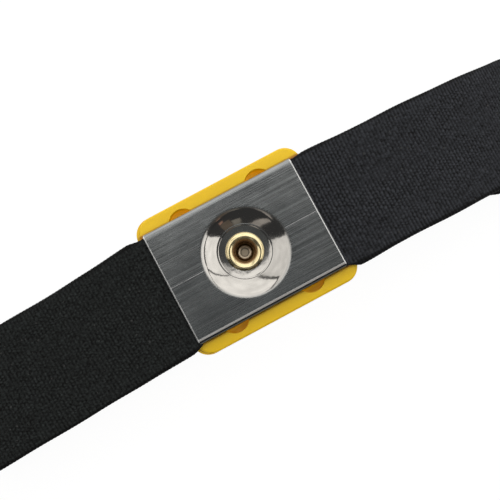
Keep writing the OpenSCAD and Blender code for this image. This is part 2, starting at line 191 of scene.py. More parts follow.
def facing(place: Vector, right: Vector, up: Vector, back: Vector) -> Matrix:
    """The matrix of a camera or lamp that stands here and looks away from back.

    Args:
        place: Where it stands, in metres.
        right: The direction of its own +X.
        up: The direction of its own +Y.
        back: The direction of its own +Z.

    Returns:
        Its place and turn in the scene.
    """
    return Matrix.Translation(place) @ Matrix((right, up, back)).transposed().to_4x4()


def welded(mesh: bpy.types.Mesh, weld: float, crisp: float, flatten: bool = False) -> bpy.types.Object:
    """Shows a mesh, with its doubles merged and its crisp edges sharp.

    Args:
        mesh: The mesh, whose name the object takes.
        weld: Points nearer than this many millimetres become one.
        crisp: Edges that turn by more than this many degrees stay sharp.
        flatten: Makes flat faces whole. Without it the faces are turned outwards.

    Returns:
        The new object, at the origin, with its place in its mesh.
    """
    work = bmesh.new()
    work.from_mesh(mesh)
    bmesh.ops.remove_doubles(work, verts=work.verts, dist=weld * MM)
    if flatten:
        level = math.radians(0.4)
        bmesh.ops.dissolve_limit(work, angle_limit=level, verts=work.verts, edges=work.edges)
    else:
        bmesh.ops.recalc_face_normals(work, faces=work.faces)
    work.to_mesh(mesh)
    work.free()
    mesh.shade_smooth()
    mesh.set_sharp_from_angle(angle=math.radians(crisp))
    return placed(mesh.name, mesh)


class Surface:
    """Points and faces of one piece, gathered as whole arrays before they become a mesh."""

    def __init__(self) -> None:
        """Starts with no points."""
        self.points: list[Array] = []
        self.faces: list[list[int]] = []
        self.uvs: list[Array] = []
        self.count = 0

    def patch(
        self, grid: Array, wrap_rows: bool = False, wrap_columns: bool = False, uv: Array | None = None
    ) -> Array:
        """Adds a grid of points and the quads between its neighbours.

        Args:
            grid: Points in millimetres, shaped (rows, columns, 3).
            wrap_rows: Joins the last row to the first.
            wrap_columns: Joins the last column to the first.
            uv: The points' own two coordinates, shaped (rows, columns, 2).

        Returns:
            The points' numbers, shaped (rows, columns).
        """
        rows, columns = grid.shape[:2]
        numbers = np.arange(rows * columns).reshape(rows, columns) + self.count
        self.points.append(grid.reshape(-1, 3))
        self.uvs.append(np.zeros((rows * columns, 2)) if uv is None else uv.reshape(-1, 2))
        self.count += rows * columns
        n = np.vstack([numbers, numbers[:1]]) if wrap_rows else numbers
        n = np.hstack([n, n[:, :1]]) if wrap_columns else n
        quads = np.stack([n[:-1, :-1], n[:-1, 1:], n[1:, 1:], n[1:, :-1]], axis=-1)
        self.faces += quads.reshape(-1, 4).tolist()
        return numbers

    def cap(self, ring: Array, pole: Array) -> None:
        """Closes a ring with triangles that meet at a pole in its middle.

        Args:
            ring: The point numbers round the hole.
            pole: Where the triangles meet, in millimetres.
        """
        self.points.append(np.asarray(pole, float).reshape(1, 3))
        self.uvs.append(np.zeros((1, 2)))
        tip = np.full(len(ring), self.count)
        self.count += 1
        self.faces += np.stack([ring, np.roll(ring, -1), tip], axis=-1).tolist()

    def revolve(self, profile: Array, segments: int) -> None:
        """Turns a profile of radius and height round Z: x = r cos(a), y = r sin(a).

        Args:
            profile: Points (r, z). One that starts and ends on the axis gets a pole at each end,
                and any other is a closed ring.
            segments: Equal steps of the turn.
        """
        on_axis = profile[0, 0] == 0 and profile[-1, 0] == 0
        body = profile[1:-1] if on_axis else profile
        a = np.linspace(0, 2 * np.pi, segments, endpoint=False)
        r, z = body[:, 0, None], body[:, 1, None]
        grid = np.stack([r * np.cos(a), r * np.sin(a), z + 0 * a], axis=-1)
        numbers = self.patch(grid, wrap_rows=not on_axis, wrap_columns=True)
        if on_axis:
            self.cap(numbers[0], [0, 0, profile[0, 1]])
            self.cap(numbers[-1], [0, 0, profile[-1, 1]])

    def piece(self, name: str, crisp: float = 40.0, weld: float = 0.002) -> bpy.types.Object:
        """Makes the mesh object, with merged doubles, outward faces and crisp edges.

        Args:
            name: The piece's name.
            crisp: Edges that turn by more than this many degrees stay sharp.
            weld: Points nearer than this many millimetres become one.

        Returns:
            The new object, at the origin, with its place in its mesh.
        """
        mesh = bpy.data.meshes.new(name)
        mesh.from_pydata((np.vstack(self.points) * MM).tolist(), [], self.faces)
        corner = np.empty(len(mesh.loops), np.int32)
        mesh.loops.foreach_get("vertex_index", corner)
        layer = mesh.uv_layers.new(name=STRIP_UV)
        layer.data.foreach_set("uv", np.vstack(self.uvs)[corner].astype(np.float32).ravel())
        return welded(mesh, weld, crisp)


def moulded_copy(node: str, name: str) -> bpy.types.Object:
    """A welded copy of a construction node's mesh, with its flat faces made whole.

    Args:
        node: The construction node that the copy stands for.
        name: The piece's name.

    Returns:
        The new object, which replaces the node.
    """
    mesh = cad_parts[node].data.copy()
    mesh.name = name
    mesh.materials.clear()
    piece = welded(mesh, weld=0.001, crisp=32.0, flatten=True)
    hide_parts(node)
    return piece


def soften(piece: bpy.types.Object, width: float, segments: int = 2, angle: float = 32.0) -> None:
    """Rounds a piece's crisp edges with a Bevel modifier.

    Args:
        piece: The piece.
        width: The bevel's width, in millimetres.
        segments: Its steps.
        angle: Edges that turn by more than this many degrees are crisp.
    """
    bevel = piece.modifiers.new("soft_edges", "BEVEL")
    bevel.width = width * MM
    bevel.segments = segments
    bevel.limit_method = "ANGLE"
    bevel.angle_limit = math.radians(angle)
    bevel.harden_normals = True
    bevel.use_clamp_overlap = True


# ---------------------------------------------------------------- shader maths


def operator(operation: str, swapped: bool = False) -> Callable:
    """The method behind one of Python's operators on a Value.

    Args:
        operation: What the Math node does.
        swapped: Gives the other operand first, as in 1 - mask.

    Returns:
        A method of Value.
    """

    def method(self: "Value", other: "Value | float") -> "Value":
        """Adds the Math node."""
        return self.maths(operation, *((other, self) if swapped else (self, other)))

    return method


class Value:
    """A number on its way through a shader. Python's operators on it add Math nodes."""

    __add__ = __radd__ = operator("ADD")
    __sub__ = operator("SUBTRACT")
    __rsub__ = operator("SUBTRACT", swapped=True)
    __mul__ = __rmul__ = operator("MULTIPLY")
    __truediv__ = operator("DIVIDE")
    __pow__ = operator("POWER")

    def __init__(self, shader: "Shader", socket: bpy.types.NodeSocket | None) -> None:
        """Wraps one output socket of a shader's node."""
        self.shader = shader
        self.socket = socket

    def maths(self, operation: str, *inputs: "Value | float") -> "Value":
        """The result of one Math node on these inputs."""
        return self.shader.node("ShaderNodeMath", dict(enumerate(inputs)), {"operation": operation})

    def __abs__(self) -> "Value":
        """The size of self, without its sign."""
        return self.maths("ABSOLUTE", self)

    def floor(self) -> "Value":
        """The whole number below self."""
        return self.maths("FLOOR", self)

    def wave(self) -> "Value":
        """The sine of self whole turns, from -1 to 1."""
        return self.maths("SINE", self * math.tau)

    def at_least(self, low: float) -> "Value":
        """Self, or low where self is smaller."""
        return self.maths("MAXIMUM", self, low)

    def step(self, low: float, high: float) -> "Value":
        """0 below low, 1 above high and a smooth rise between. It falls where low is the higher.

        Args:
            low: Where the result is 0.
            high: Where the result is 1.

        Returns:
            A number from 0 to 1.
        """
        bottom, top, start, stop = (low, high, 0.0, 1.0) if low < high else (high, low, 1.0, 0.0)
        inputs = {0: self, 1: bottom, 2: top, 3: start, 4: stop}
        return self.shader.node("ShaderNodeMapRange", inputs, {"interpolation_type": "SMOOTHSTEP"})


class Shader:
    """One node tree that is built from Python expressions."""

    def __init__(self, tree: bpy.types.NodeTree) -> None:
        """Empties the tree."""
        self.tree = tree
        tree.nodes.clear()

    def node(
        self, kind: str, inputs: dict | None = None, settings: dict | None = None, output: int | str = 0
    ) -> Value:
        """Adds any node.

        Args:
            kind: The node's type.
            inputs: Values or links by socket name or number.
            settings: The node's own properties, set first. A ramp's stops are a list of
                (position, colour) under the name "stops".
            output: Name or number of the output that is wanted.

        Returns:
            That output.
        """
        made = self.tree.nodes.new(kind)
        for key, value in (settings or {}).items():
            if key == "stops":
                for _ in value[2:]:
                    made.color_ramp.elements.new(0.5)
                for element, (position, colour) in zip(made.color_ramp.elements, value):
                    element.position = position
                    element.color = (*colour, 1.0)
            else:
                setattr(made, key, value)
        for key, value in (inputs or {}).items():
            socket = made.inputs[key]
            if isinstance(value, Value):
                self.tree.links.new(value.socket, socket)
            elif isinstance(value, tuple) and len(value) == 3 and socket.type == "RGBA":
                socket.default_value = (*value, 1.0)
            else:
                socket.default_value = value
        return Value(self, made.outputs[output]) if len(made.outputs) else Value(self, None)

    def place(self) -> Value:
        """The point's own coordinates on its piece, in millimetres."""
        metres = self.node("ShaderNodeTexCoord", output="Object")
        return self.scaled(metres, (1 / MM, 1 / MM, 1 / MM))

    def strip(self) -> Value:
        """The point's place on the webbing: ribs along it, and millimetres across it."""
        return self.node("ShaderNodeUVMap", settings={"uv_map": STRIP_UV})

    def scaled(self, vector: Value, by: Triple) -> Value:
        """A vector with each of its parts multiplied."""
        return self.node("ShaderNodeVectorMath", {0: vector, 1: by}, {"operation": "MULTIPLY"})

    def parts(self, vector: Value) -> tuple[Value, Value, Value]:
        """The three numbers of a vector."""
        x = self.node("ShaderNodeSeparateXYZ", {0: vector})
        return x, Value(self, x.socket.node.outputs[1]), Value(self, x.socket.node.outputs[2])

    def length(self, x: Value, y: Value) -> Value:
        """How far (x, y) is from (0, 0)."""
        return (x * x + y * y) ** 0.5

    def vector(self, x: Value | float, y: Value | float, z: Value | float = 0.0) -> Value:
        """A vector of three numbers."""
        return self.node("ShaderNodeCombineXYZ", {0: x, 1: y, 2: z})

    def noise(self, vector: Value, scale: float = 1.0, detail: float = 2.0, rough: float = 0.5) -> Value:
        """Soft noise from 0 to 1, with scale features to a unit."""
        inputs = {"Vector": vector, "Scale": scale, "Detail": detail, "Roughness": rough}
        return self.node("ShaderNodeTexNoise", inputs)

    def blend(self, a: Value | tuple, b: Value | tuple, share: Value | float) -> Value:
        """The colour a where share is 0, and b where it is 1."""
        return self.node("ShaderNodeMix", {0: share, 6: a, 7: b}, {"data_type": "RGBA"}, output=2)

    def times(self, colour: Value | tuple, lit: Value) -> Value:
        """A colour made lighter or darker by a number."""
        inputs = {0: 1.0, 6: colour, 7: self.vector(lit, lit, lit)}
        return self.node("ShaderNodeMix", inputs, {"data_type": "RGBA", "blend_type": "MULTIPLY"}, output=2)

    def bump(
        self, height: Value, distance: float, strength: float = 1.0, over: Value | None = None
    ) -> Value:
        """A normal that follows a height.

        Args:
            height: The height, from 0 to 1.
            distance: How many millimetres a height of 1 stands out.
            strength: The share of the effect.
            over: A normal that this one goes over.

        Returns:
            The bent normal.
        """
        inputs = {"Height": height, "Distance": distance * MM, "Strength": strength}
        if over is not None:
            inputs["Normal"] = over
        return self.node("ShaderNodeBump", inputs)

    def rays(self) -> tuple[Value, Value]:
        """1 for the camera's rays, and 1 for those that gloss or glass sends on."""
        kinds = ("Is Camera Ray", "Is Glossy Ray", "Is Transmission Ray")
        seen, glossy, through = (self.node("ShaderNodeLightPath", output=kind) for kind in kinds)
        return seen, glossy + through

    def show(self, surface: Value) -> None:
        """Ends the tree in this surface."""
        self.node("ShaderNodeOutputMaterial", {"Surface": surface})

    def finish(self, inputs: dict) -> None:
        """Ends the tree in a Principled shader with these inputs."""
        self.show(self.node("ShaderNodeBsdfPrincipled", inputs))


def new_shader(name: str) -> tuple[bpy.types.Material, Shader]:
    """A new material and its empty tree."""
    material = bpy.data.materials.new(name)
    material.use_nodes = True
    return material, Shader(material.node_tree)


# ---------------------------------------------------------------- finishes


@dataclass(frozen=True)
class BrushedSteel:
    """Stainless sheet, brushed along X, with a polished dish near the origin."""

    colour: Colour = (0.285, 0.30, 0.307)
    streaks: Triple = (0.6, 0.26, 0.14)
    contrast: float = 1.0
    smudged: float = 0.55
    cut: float = 0.14
    roughness: float = 0.25
    dish_colour: Colour = (0.55, 0.535, 0.51)
    dish_off: Pair = (0.05, -0.3)
    dish_edge: Pair = (6.75, 7.5)
    polished: float = 0.085
    painted_highlight: Colour = (0.88, 0.89, 0.89)
    end_x: float = 13.1
    painted_bend_highlight_y: Pair = (8.95, 9.42)
    front_bend_shade: float = 0.82
    flange_top: float = 19.45
    flange_shade: float = 0.6
    scratch: Colour = (0.95, 0.95, 0.96)
    scratch_y: float = 0.2
    scratch_width: float = 0.075
    scratch_wander: float = 0.12
    scratch_start: Pair = (6.9, 7.6)

    def material(self) -> bpy.types.Material:
        """Streaks of several widths in colour, roughness and height, and one scribed hairline.

        The cut ends and a line along the front bend have a painted highlight, and scatter light. Below
        that line the bend has painted shade, and the flanges are painted darker than the sheet as shade.

        Returns:
            The material.
        """
        made, s = new_shader("brushed_steel")
        place = s.place()
        x, y, z = s.parts(place)
        radius = s.length(x - self.dish_off[0], y - self.dish_off[1])
        flat = radius.step(*self.dish_edge)
        fine = s.noise(s.scaled(place, (0.05, 7.0, 7.0)), detail=1.5, rough=0.55)
        medium = s.noise(s.scaled(place, (0.03, 2.3, 2.3)), detail=2.0)
        broad = s.noise(s.scaled(place, (0.014, 0.5, 0.5)), detail=1.0)
        streaks = self.streaks[0] * fine + self.streaks[1] * medium + self.streaks[2] * broad
        cuts = s.noise(s.scaled(place, (0.035, 2.1, 2.1)), detail=1.0).step(0.64, 0.72)
        smudge = s.noise(place, scale=0.22, detail=2.0)
        lit = 1.0 + self.contrast * (streaks - 0.5) + self.cut * cuts + self.smudged * (smudge - 0.5)
        sheet = s.times(self.colour, lit)
        wander = s.noise(s.scaled(place, (0.09, 0.0, 0.0)), detail=1.0) - 0.5
        broken = s.noise(s.scaled(place, (0.5, 0.0, 0.0)), detail=2.0).step(0.2, 0.42)
        off_line = abs(y - self.scratch_y - self.scratch_wander * wander)
        scratch = off_line.step(self.scratch_width, 0.02) * broken * radius.step(*self.scratch_start)
        sheet = s.blend(sheet, self.scratch, scratch * 0.8)
        front = y * -1.0
        # painted highlight: a bright, less metallic line along the front bend stands in for its reflection
        start, stop = self.painted_bend_highlight_y
        painted_bend_highlight = front.step(start, start + 0.1) * front.step(stop, stop - 0.1)
        sheet = s.blend(sheet, self.painted_highlight, painted_bend_highlight)
        # painted shade: the front bend below the highlight line, and the flanges below the sheet's top, are
        # darkened
        front_bend_shade = front.step(stop - 0.04, stop + 0.08)
        below = z.step(self.flange_top, self.flange_top - 0.4)
        sheet = s.times(sheet, (1.0 - self.front_bend_shade * front_bend_shade) * (1.0 - self.flange_shade * below))
        # painted highlight: the cut ends are painted bright and less metallic in place of their edge glint
        painted_end_highlight = abs(x).step(self.end_x, self.end_x + 0.05) * (1.0 - front_bend_shade)
        sheet = s.blend(sheet, self.painted_highlight, painted_end_highlight)
        smear = s.noise(place, scale=0.5, detail=2.0)
        rough = self.roughness - self.polished + 0.3 * (streaks - 0.5)
        wobble = s.bump(smear, distance=0.03, strength=0.8)
        s.finish({
            "Base Color": s.blend(self.dish_colour, sheet, flat),
            "Metallic": 1.0 - 0.3 * painted_bend_highlight - 0.45 * painted_end_highlight,
            "Roughness": self.polished + 0.02 * smear + flat * rough,
            "Normal": s.bump(streaks * flat + 0.35 * scratch, distance=0.006, strength=0.8, over=wobble),
        })
        return made


@dataclass(frozen=True)
class BrightMetal:
    """A smooth turned or plated metal with faint turning marks, dull stains, and painted shade in its bore.
    """

    name: str
    colour: Colour
    dull: Colour
    roughness: float
    stained: float
    bore_r: float = 0.0
    bore_floor: float = 0.0
    button_r: float = 0.0
    groove_r: float = 0.66
    mouth_r: Pair = (1.35, 1.75)
    worn: Colour = (0.52, 0.44, 0.33)
    painted_bore_shade_brown: Colour = (0.30, 0.17, 0.07)
    mark_pitch: float = 0.09

    def material(self) -> bpy.types.Material:
        """Concentric turning marks round Z, soft stains, a bore in painted shade, and a worn button.

        Returns:
            The material.
        """
        made, s = new_shader(self.name)
        place = s.place()
        x, y, z = s.parts(place)
        radius = s.length(x, y)
        floor = self.bore_floor
        stain = s.noise(place, scale=1.3, detail=4.0, rough=0.6)
        marks = (radius / self.mark_pitch + 0.7 * s.noise(place, scale=2.0)).wave()
        bore = radius.step(self.bore_r + 0.25, self.bore_r - 0.1) * z.step(floor, floor + 0.1)
        button = radius.step(self.button_r + 0.05, self.button_r) * z.step(floor - 0.1, floor) * bore
        mouth = radius.step(*self.mouth_r) * bore
        # the groove is the crease round the button's dimple, which gets painted shade
        groove = abs(radius - self.groove_r).step(0.15, 0.04)
        patina = s.times(self.dull, 0.7 + 0.6 * stain)
        tone = s.blend(self.colour, patina, stain.step(0.5, 0.8) * self.stained)
        # painted shade: the bore's floor is darkened and its wall painted brown and less metallic, in place
        # of the bore's shadow
        painted_bore_shade = s.blend(s.times(self.dull, 0.15 + 0.3 * stain), self.painted_bore_shade_brown, mouth)
        # painted highlight on the button's rounded rim, and painted shade in its groove
        worn = s.times(self.worn, 1.0 + 0.3 * radius.step(0.75, 0.9) - 0.65 * groove)
        s.finish({
            "Base Color": s.blend(tone, s.blend(painted_bore_shade, worn, button), bore),
            "Metallic": 1.0 - 0.5 * mouth,
            "Roughness": self.roughness + 0.1 * (stain - 0.5) + 0.12 * bore + 0.12 * button,
            "Normal": s.bump(0.5 + 0.5 * marks, distance=0.0015, strength=0.4),
        })
        return made


@dataclass(frozen=True)
class DrawnWire:
    """Steel wire with fine draw lines along Y."""

    colour: Colour = (0.60, 0.61, 0.62)
    dark: Colour = (0.42, 0.43, 0.44)
    roughness: float = 0.24

    def material(self) -> bpy.types.Material:
        """Lines along the wire in colour, roughness and height.

        Returns:
            The material.
        """
        made, s = new_shader("drawn_wire")
        lines = s.noise(s.scaled(s.place(), (18.0, 0.4, 18.0)), detail=3.0)
        s.finish({
            "Base Color": s.blend(self.colour, self.dark, lines.step(0.45, 0.75)),
            "Metallic": 1.0,
            "Roughness": self.roughness + 0.15 * (lines - 0.5),
            "Normal": s.bump(lines, distance=0.006, strength=0.5),
        })
        return made


@dataclass(frozen=True)
class MouldedPlastic:
    """Satin plastic with a fine sparked texture, flow marks, and round wells in painted amber light."""

    colour: Colour = (0.94, 0.61, 0.004)
    deep: Colour = (0.88, 0.53, 0.003)
    painted_well_amber: Colour = (0.96, 0.54, 0.004)
    painted_well_glow: Colour = (0.2, 0.1, 0.0)
    painted_well_glow_front: Colour = (0.09, 0.045, 0.0)
    line_mark: Colour = (0.5, 0.2, 0.004)
    plate_shadow_y: Pair = (10.3, 9.85)
    well_middle: float = 0.35
    well_at: Pair = (6.9, 8.65)
    well_r: float = 2.4
    well_floor: Pair = (14.6, 15.2)
    well_mouth: float = 17.9
    roughness: float = 0.36

    def material(self) -> bpy.types.Material:
        """Two tones of the colour in slow flow marks, over a grain that the mould leaves.

        A point is in a well where it lies within the well's radius of the nearest of the four
        centres, above the well's floor and below its mouth. The wells' amber tint and glow are painted
        light, brighter on the +Y side. The bed's rim beside the plate has a painted shadow line.

        Returns:
            The material.
        """
        made, s = new_shader("yellow_plastic")
        place = s.place()
        x, y, z = s.parts(place)
        mouth = self.well_mouth
        away = s.length(abs(x - self.well_middle) - self.well_at[0], abs(y) - self.well_at[1])
        inside = away.step(self.well_r + 0.12, self.well_r - 0.05) * z.step(mouth, mouth - 0.5)
        inside = inside * z.step(*self.well_floor)
        # painted light: the wells glow amber, brighter on the +Y side
        painted_well_glow = s.blend(self.painted_well_glow_front, self.painted_well_glow, y.step(-2.0, 2.0))
        # painted shadow: a dark line on the bed's rim beside the plate
        line_mark = abs(y).step(*self.plate_shadow_y) * z.step(mouth - 0.4, mouth)
        flow = s.noise(s.scaled(place, (0.12, 0.3, 0.3)), detail=3.0)
        grain = s.noise(place, scale=5.0, detail=3.0, rough=0.65)
        tone = s.blend(s.blend(self.colour, self.deep, flow.step(0.35, 0.75) * 0.5), self.line_mark, line_mark)
        speck = 1.0 + 0.18 * (grain - 0.5)
        s.finish({
            # painted light: the wells' colour is tinted amber
            "Base Color": s.times(s.blend(tone, self.painted_well_amber, inside), speck),
            "Emission Color": s.blend((0.0, 0.0, 0.0), painted_well_glow, inside),
            "Emission Strength": 1.0,
            "Roughness": self.roughness + 0.2 * (grain - 0.5) + 0.08 * (flow - 0.5),
            "Specular IOR Level": 0.4,
            "Normal": s.bump(grain, distance=0.018, strength=0.6),
        })
        return made


@dataclass(frozen=True)
class ElasticKnit:
    """Black knitted elastic. The ribs are in the mesh; the stitches and fuzz are in here."""

    left: Colour = (0.0103, 0.0121, 0.0122)
    right: Colour = (0.0203, 0.0219, 0.0260)
    fibre: Colour = (0.045, 0.045, 0.045)
    least: float = 0.12
    dashed: float = 2.6
    speckled: float = 6.2
    calmer: float = 3.6
    fuzzy: float = 1.9
    stitch: float = 0.66
    selvedge: float = 8.3
    edge: float = 9.35

    def material(self) -> bpy.types.Material:
        """Rows of stitches on every rib, with a plainer band along each edge.

        Ribs crest where the strip's first coordinate is a whole number. On a rib, stitches follow
        each other as a wave across the strip, half a stitch further on from rib to rib, and a slow
        drift keeps them from lining up. Stray fibres show as rare light specks. The clamped side's
        colour is lighter and bluer, as painted light where more light falls on it, with clearer ribs and
        calmer specks.

        Returns:
            The material.
        """
        made, s = new_shader("elastic_knit")
        rib, across, _ = s.parts(s.strip())
        side = abs(across)
        place = s.place()
        x, _, _ = s.parts(place)
        drift = s.noise(s.vector(rib * 0.23, across * 0.5), detail=2.0)
        row = (rib + 0.5).floor()
        cell = (across / self.stitch + 0.5 * row + 3.0 * drift).wave()
        worn = s.noise(s.vector(rib * 0.06, across * 0.22), detail=2.0).step(0.3, 0.65)
        inner = side.step(self.selvedge + 0.5, self.selvedge - 0.3)
        crest = 0.5 + 0.5 * (rib + 0.25).wave()
        thread = s.noise(s.vector(rib * 1.7, across * 3.4), detail=3.0, rough=0.7)
        fuzz = s.noise(place, scale=2.2, detail=3.0, rough=0.75)
        dots = s.noise(s.vector(rib * 1.1, across * 1.6), detail=0.0).step(0.79, 0.83)
        line_mark = abs(side - self.selvedge).step(0.22, 0.05) * (0.5 + 0.5 * rib.wave())
        clamped = x.step(-15.0, 15.0)
        # painted light: the clamped side's colour is lighter and bluer, where more light falls on it
        tone = s.blend(self.left, self.right, clamped)
        dash = s.noise(s.vector(row * 7.31, across * 1.3), detail=2.0, rough=0.7)
        shade = 1.0 - 0.8 * side.step(self.edge, self.edge + 0.4)
        bands = (0.1 + 0.4 * clamped + 0.5 * worn) * (crest - 0.5) + (0.1 + 0.3 * worn) * cell * inner
        speck = (self.speckled - self.calmer * clamped) * (thread - 0.5) + self.fuzzy * (fuzz - 0.5)
        lit = 1.0 + bands + self.dashed * (dash - 0.5) + speck + 0.2 * line_mark
        knit = s.times(tone, lit.at_least(self.least) * shade)
        s.finish({
            "Base Color": s.blend(knit, self.fibre, dots * 0.8),
            "Roughness": 0.82 + 0.2 * (thread - 0.5),
            "Specular IOR Level": 0.22,
            "Sheen Weight": 0.03,
            "Sheen Roughness": 0.4,
            "Normal": s.bump(0.5 * thread + 0.35 * cell * inner + 0.3 * line_mark, distance=0.09, strength=0.8),
        })
        return made


@dataclass(frozen=True)
class SewingThread:
    """Black twisted thread."""

    colour: Colour = (0.012, 0.012, 0.014)
    light: Colour = (0.035, 0.035, 0.04)
    twist: float = 0.35

    def material(self) -> bpy.types.Material:
        """Slanting strands that show as light and dark turns.

        Returns:
            The material.
        """
        made, s = new_shader("sewing_thread")
        x, y, z = s.parts(s.place())
        strands = 0.5 + 0.5 * (y / self.twist + (x + z) * 0.9).wave()
        s.finish({
            "Base Color": s.blend(self.colour, self.light, strands),
            "Roughness": 0.55 + 0.15 * strands,
            "Normal": s.bump(strands, distance=0.03, strength=0.6),
        })
        return made


class Finish(Enum):
    """The finishes by the record's material slots."""

    STEEL = ("steel", BrushedSteel())
    BRASS = ("brass", BrightMetal(
        "bright_brass", (0.93, 0.80, 0.48), (0.16, 0.075, 0.018), roughness=0.15, stained=0.18,
        bore_r=2.0, bore_floor=16.0, button_r=1.12,
    ))
    NICKEL = ("nickel", BrightMetal(
        "nickel_plate", (0.72, 0.70, 0.66), (0.50, 0.48, 0.45), roughness=0.14, stained=0.5,
    ))
    PIN_STEEL = ("pin_steel", DrawnWire())
    PLASTIC = ("yellow_plastic", MouldedPlastic())
    WEBBING = ("webbing", ElasticKnit())
    THREAD = ("thread", SewingThread())

    @cache
    def material(self) -> bpy.types.Material:
        """This finish's one material, made when the first piece asks for it."""
        return self.value[1].material()

    def dress(self, piece: bpy.types.Object) -> None:
        """Gives a piece this finish."""
        piece.data.materials.clear()
        piece.data.materials.append(self.material())


# ---------------------------------------------------------------- sub-assemblies


@dataclass
class SkinPlate:
    """The folded steel plate with its pressed dish."""

    sheet: float = 0.5
    bend_r: float = 0.85
    flange_h: float = 2.4
    hole_r: float = 2.05
    flat_r: float = 2.9
    crease_r: float = 4.35
    crease_h: float = 0.035
    crease_w: float = 0.07
    floor_slope: Pair = (5.0, 8.0)
    rim_r: float = 7.45
    rim_off: Pair = (0.05, -0.3)
    rim_flat: float = 0.3
    shoulder_r: float = 1.5
    slope: float = 33.0
    tab_x: float = 6.9
    tab_w: float = 2.4
    tab_foot: float = 14.86
    step: float = 0.42
    rows: int = 15
    crowding: float = 1.15
    edge_round: float = 0.24

    def __post_init__(self) -> None:
        """Reads the plate's outer sizes from the construction."""
        self.half_l = span("skin_plate", 0)[1]
        self.half_w = span("skin_plate", 1)[1]
        self.top = span("skin_plate", 2)[1]
        self.depth = self.top - self.sheet - span("housing", 2)[1]

    def dish(self) -> Array:
        """Radius and height of the dish from its hole to the flat sheet.

        The floor is flat under the rivet's roll and then an arc that rises to the crease, where
        the press left a fine ridge. The wall is an arc whose slope grows outwards, and it meets
        the arc of the shoulder at the wall's steepest slope. An arc between two slopes rises by
        its run times the tangent of their mean.

        Returns:
            The profile's points, with height 0 at the flat sheet.
        """
        slope = math.radians(self.slope)
        rise = (self.crease_r - self.flat_r) * math.tan(math.radians(sum(self.floor_slope) / 2))
        drop = self.depth - rise - self.shoulder_r * (1 - math.cos(slope))
        run = self.rim_r - self.shoulder_r * math.sin(slope) - self.crease_r
        foot = 2 * math.degrees(math.atan(drop / run)) - self.slope
        inner = rising_arc(self.flat_r, -self.depth, self.crease_r - self.flat_r, *self.floor_slope, 12)
        outer = rising_arc(self.crease_r, rise - self.depth, run, foot, self.slope, 22)
        ridge = [[self.crease_r, rise - self.depth + self.crease_h]]
        near = np.abs(np.vstack([inner, outer])[:, 0] - self.crease_r) > self.crease_w
        inner, outer = inner[near[:len(inner)]], outer[near[len(inner):]]
        return np.vstack([
            [[self.hole_r, -self.depth]],
            inner,
            ridge,
            outer,
            arc(self.rim_r, -self.shoulder_r, self.shoulder_r, 90 + self.slope, 90, 10)[1:],
            [[self.rim_r + self.rim_flat, 0.0]],
        ])

    def folded(self, x: Array, s: Array) -> Array:
        """The sheet's outer face, from places on the unfolded blank.

        Up to the bend the sheet is flat, round the bend s is the arc's length, and past it the
        flange hangs straight down.

        Args:
            x: Places along the sheet.
            s: Places across the blank from its middle.

        Returns:
            Points, shaped as x and s together, with 3 numbers each.
        """
        flat = self.half_w - self.bend_r
        turn = np.clip((np.abs(s) - flat) / self.bend_r, 0, np.pi / 2)
        below = np.maximum(np.abs(s) - flat - self.bend_r * np.pi / 2, 0)
        y = np.minimum(np.abs(s), flat) + self.bend_r * np.sin(turn)
        z = self.top - self.bend_r * (1 - np.cos(turn)) - below
        return np.stack(np.broadcast_arrays(x, np.sign(s) * y, z), axis=-1)

    def build(self) -> bpy.types.Object:
        """Rings of the dish spread into the rectangle of the sheet, then the bends, flanges and tabs.

        The rings move off centre by a share that grows from 0 at the crease to 1 at the rim.

        Returns:
            The plate.
        """
        surface = Surface()
        flat = self.half_w - self.bend_r
        tab = [self.tab_x - self.tab_w / 2, self.tab_x + self.tab_w / 2]
        along = stations([-self.half_l, -tab[1], -tab[0], 0.0, *tab, self.half_l], self.step)
        across = stations([-flat, 0.0, flat], self.step)
        edge = outline(along, across)
        profile = self.dish()
        aim = edge / np.linalg.norm(edge, axis=1, keepdims=True)
        share = np.clip((profile[:, 0] - self.crease_r) / (self.rim_r - self.crease_r), 0, 1)
        rings = profile[:, 0, None, None] * aim + share[:, None, None] * np.array(self.rim_off)
        heights = np.repeat(profile[:, 1, None], len(edge), axis=1)
        t = np.linspace(0, 1, self.rows + 1)[1:, None, None] ** self.crowding
        spread = (1 - t) * rings[-1] + t * edge
        xy = np.vstack([rings, spread])
        z = self.top + np.vstack([heights, np.zeros(spread.shape[:2])])
        surface.patch(np.concatenate([xy, z[..., None]], axis=-1), wrap_columns=True)
        bend = flat + self.bend_r * np.linspace(0, np.pi / 2, 9)
        flange_end = bend[-1] + self.flange_h - self.bend_r
        strip = np.concatenate([bend, np.linspace(bend[-1], flange_end, 5)[1:]])
        tab_end = flange_end + self.top - self.flange_h - self.tab_foot
        for side in (-1, 1):
            surface.patch(self.folded(along[None, :], side * strip[:, None]))
            for end in (-1, 1):
                inside = (end * along >= tab[0] - 1e-6) & (end * along <= tab[1] + 1e-6)
                reach = np.linspace(flange_end, tab_end, 7)
                surface.patch(self.folded(along[inside][None, :], side * reach[:, None]))
        piece = surface.piece("skin_plate_sheet")
        wall = piece.modifiers.new("sheet", "SOLIDIFY")
        wall.thickness = self.sheet * MM
        wall.offset = -1.0
        wall.use_even_offset = True
        soften(piece, self.edge_round, segments=1, angle=60.0)
        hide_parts("skin_plate")
        Finish.STEEL.dress(piece)
        return piece


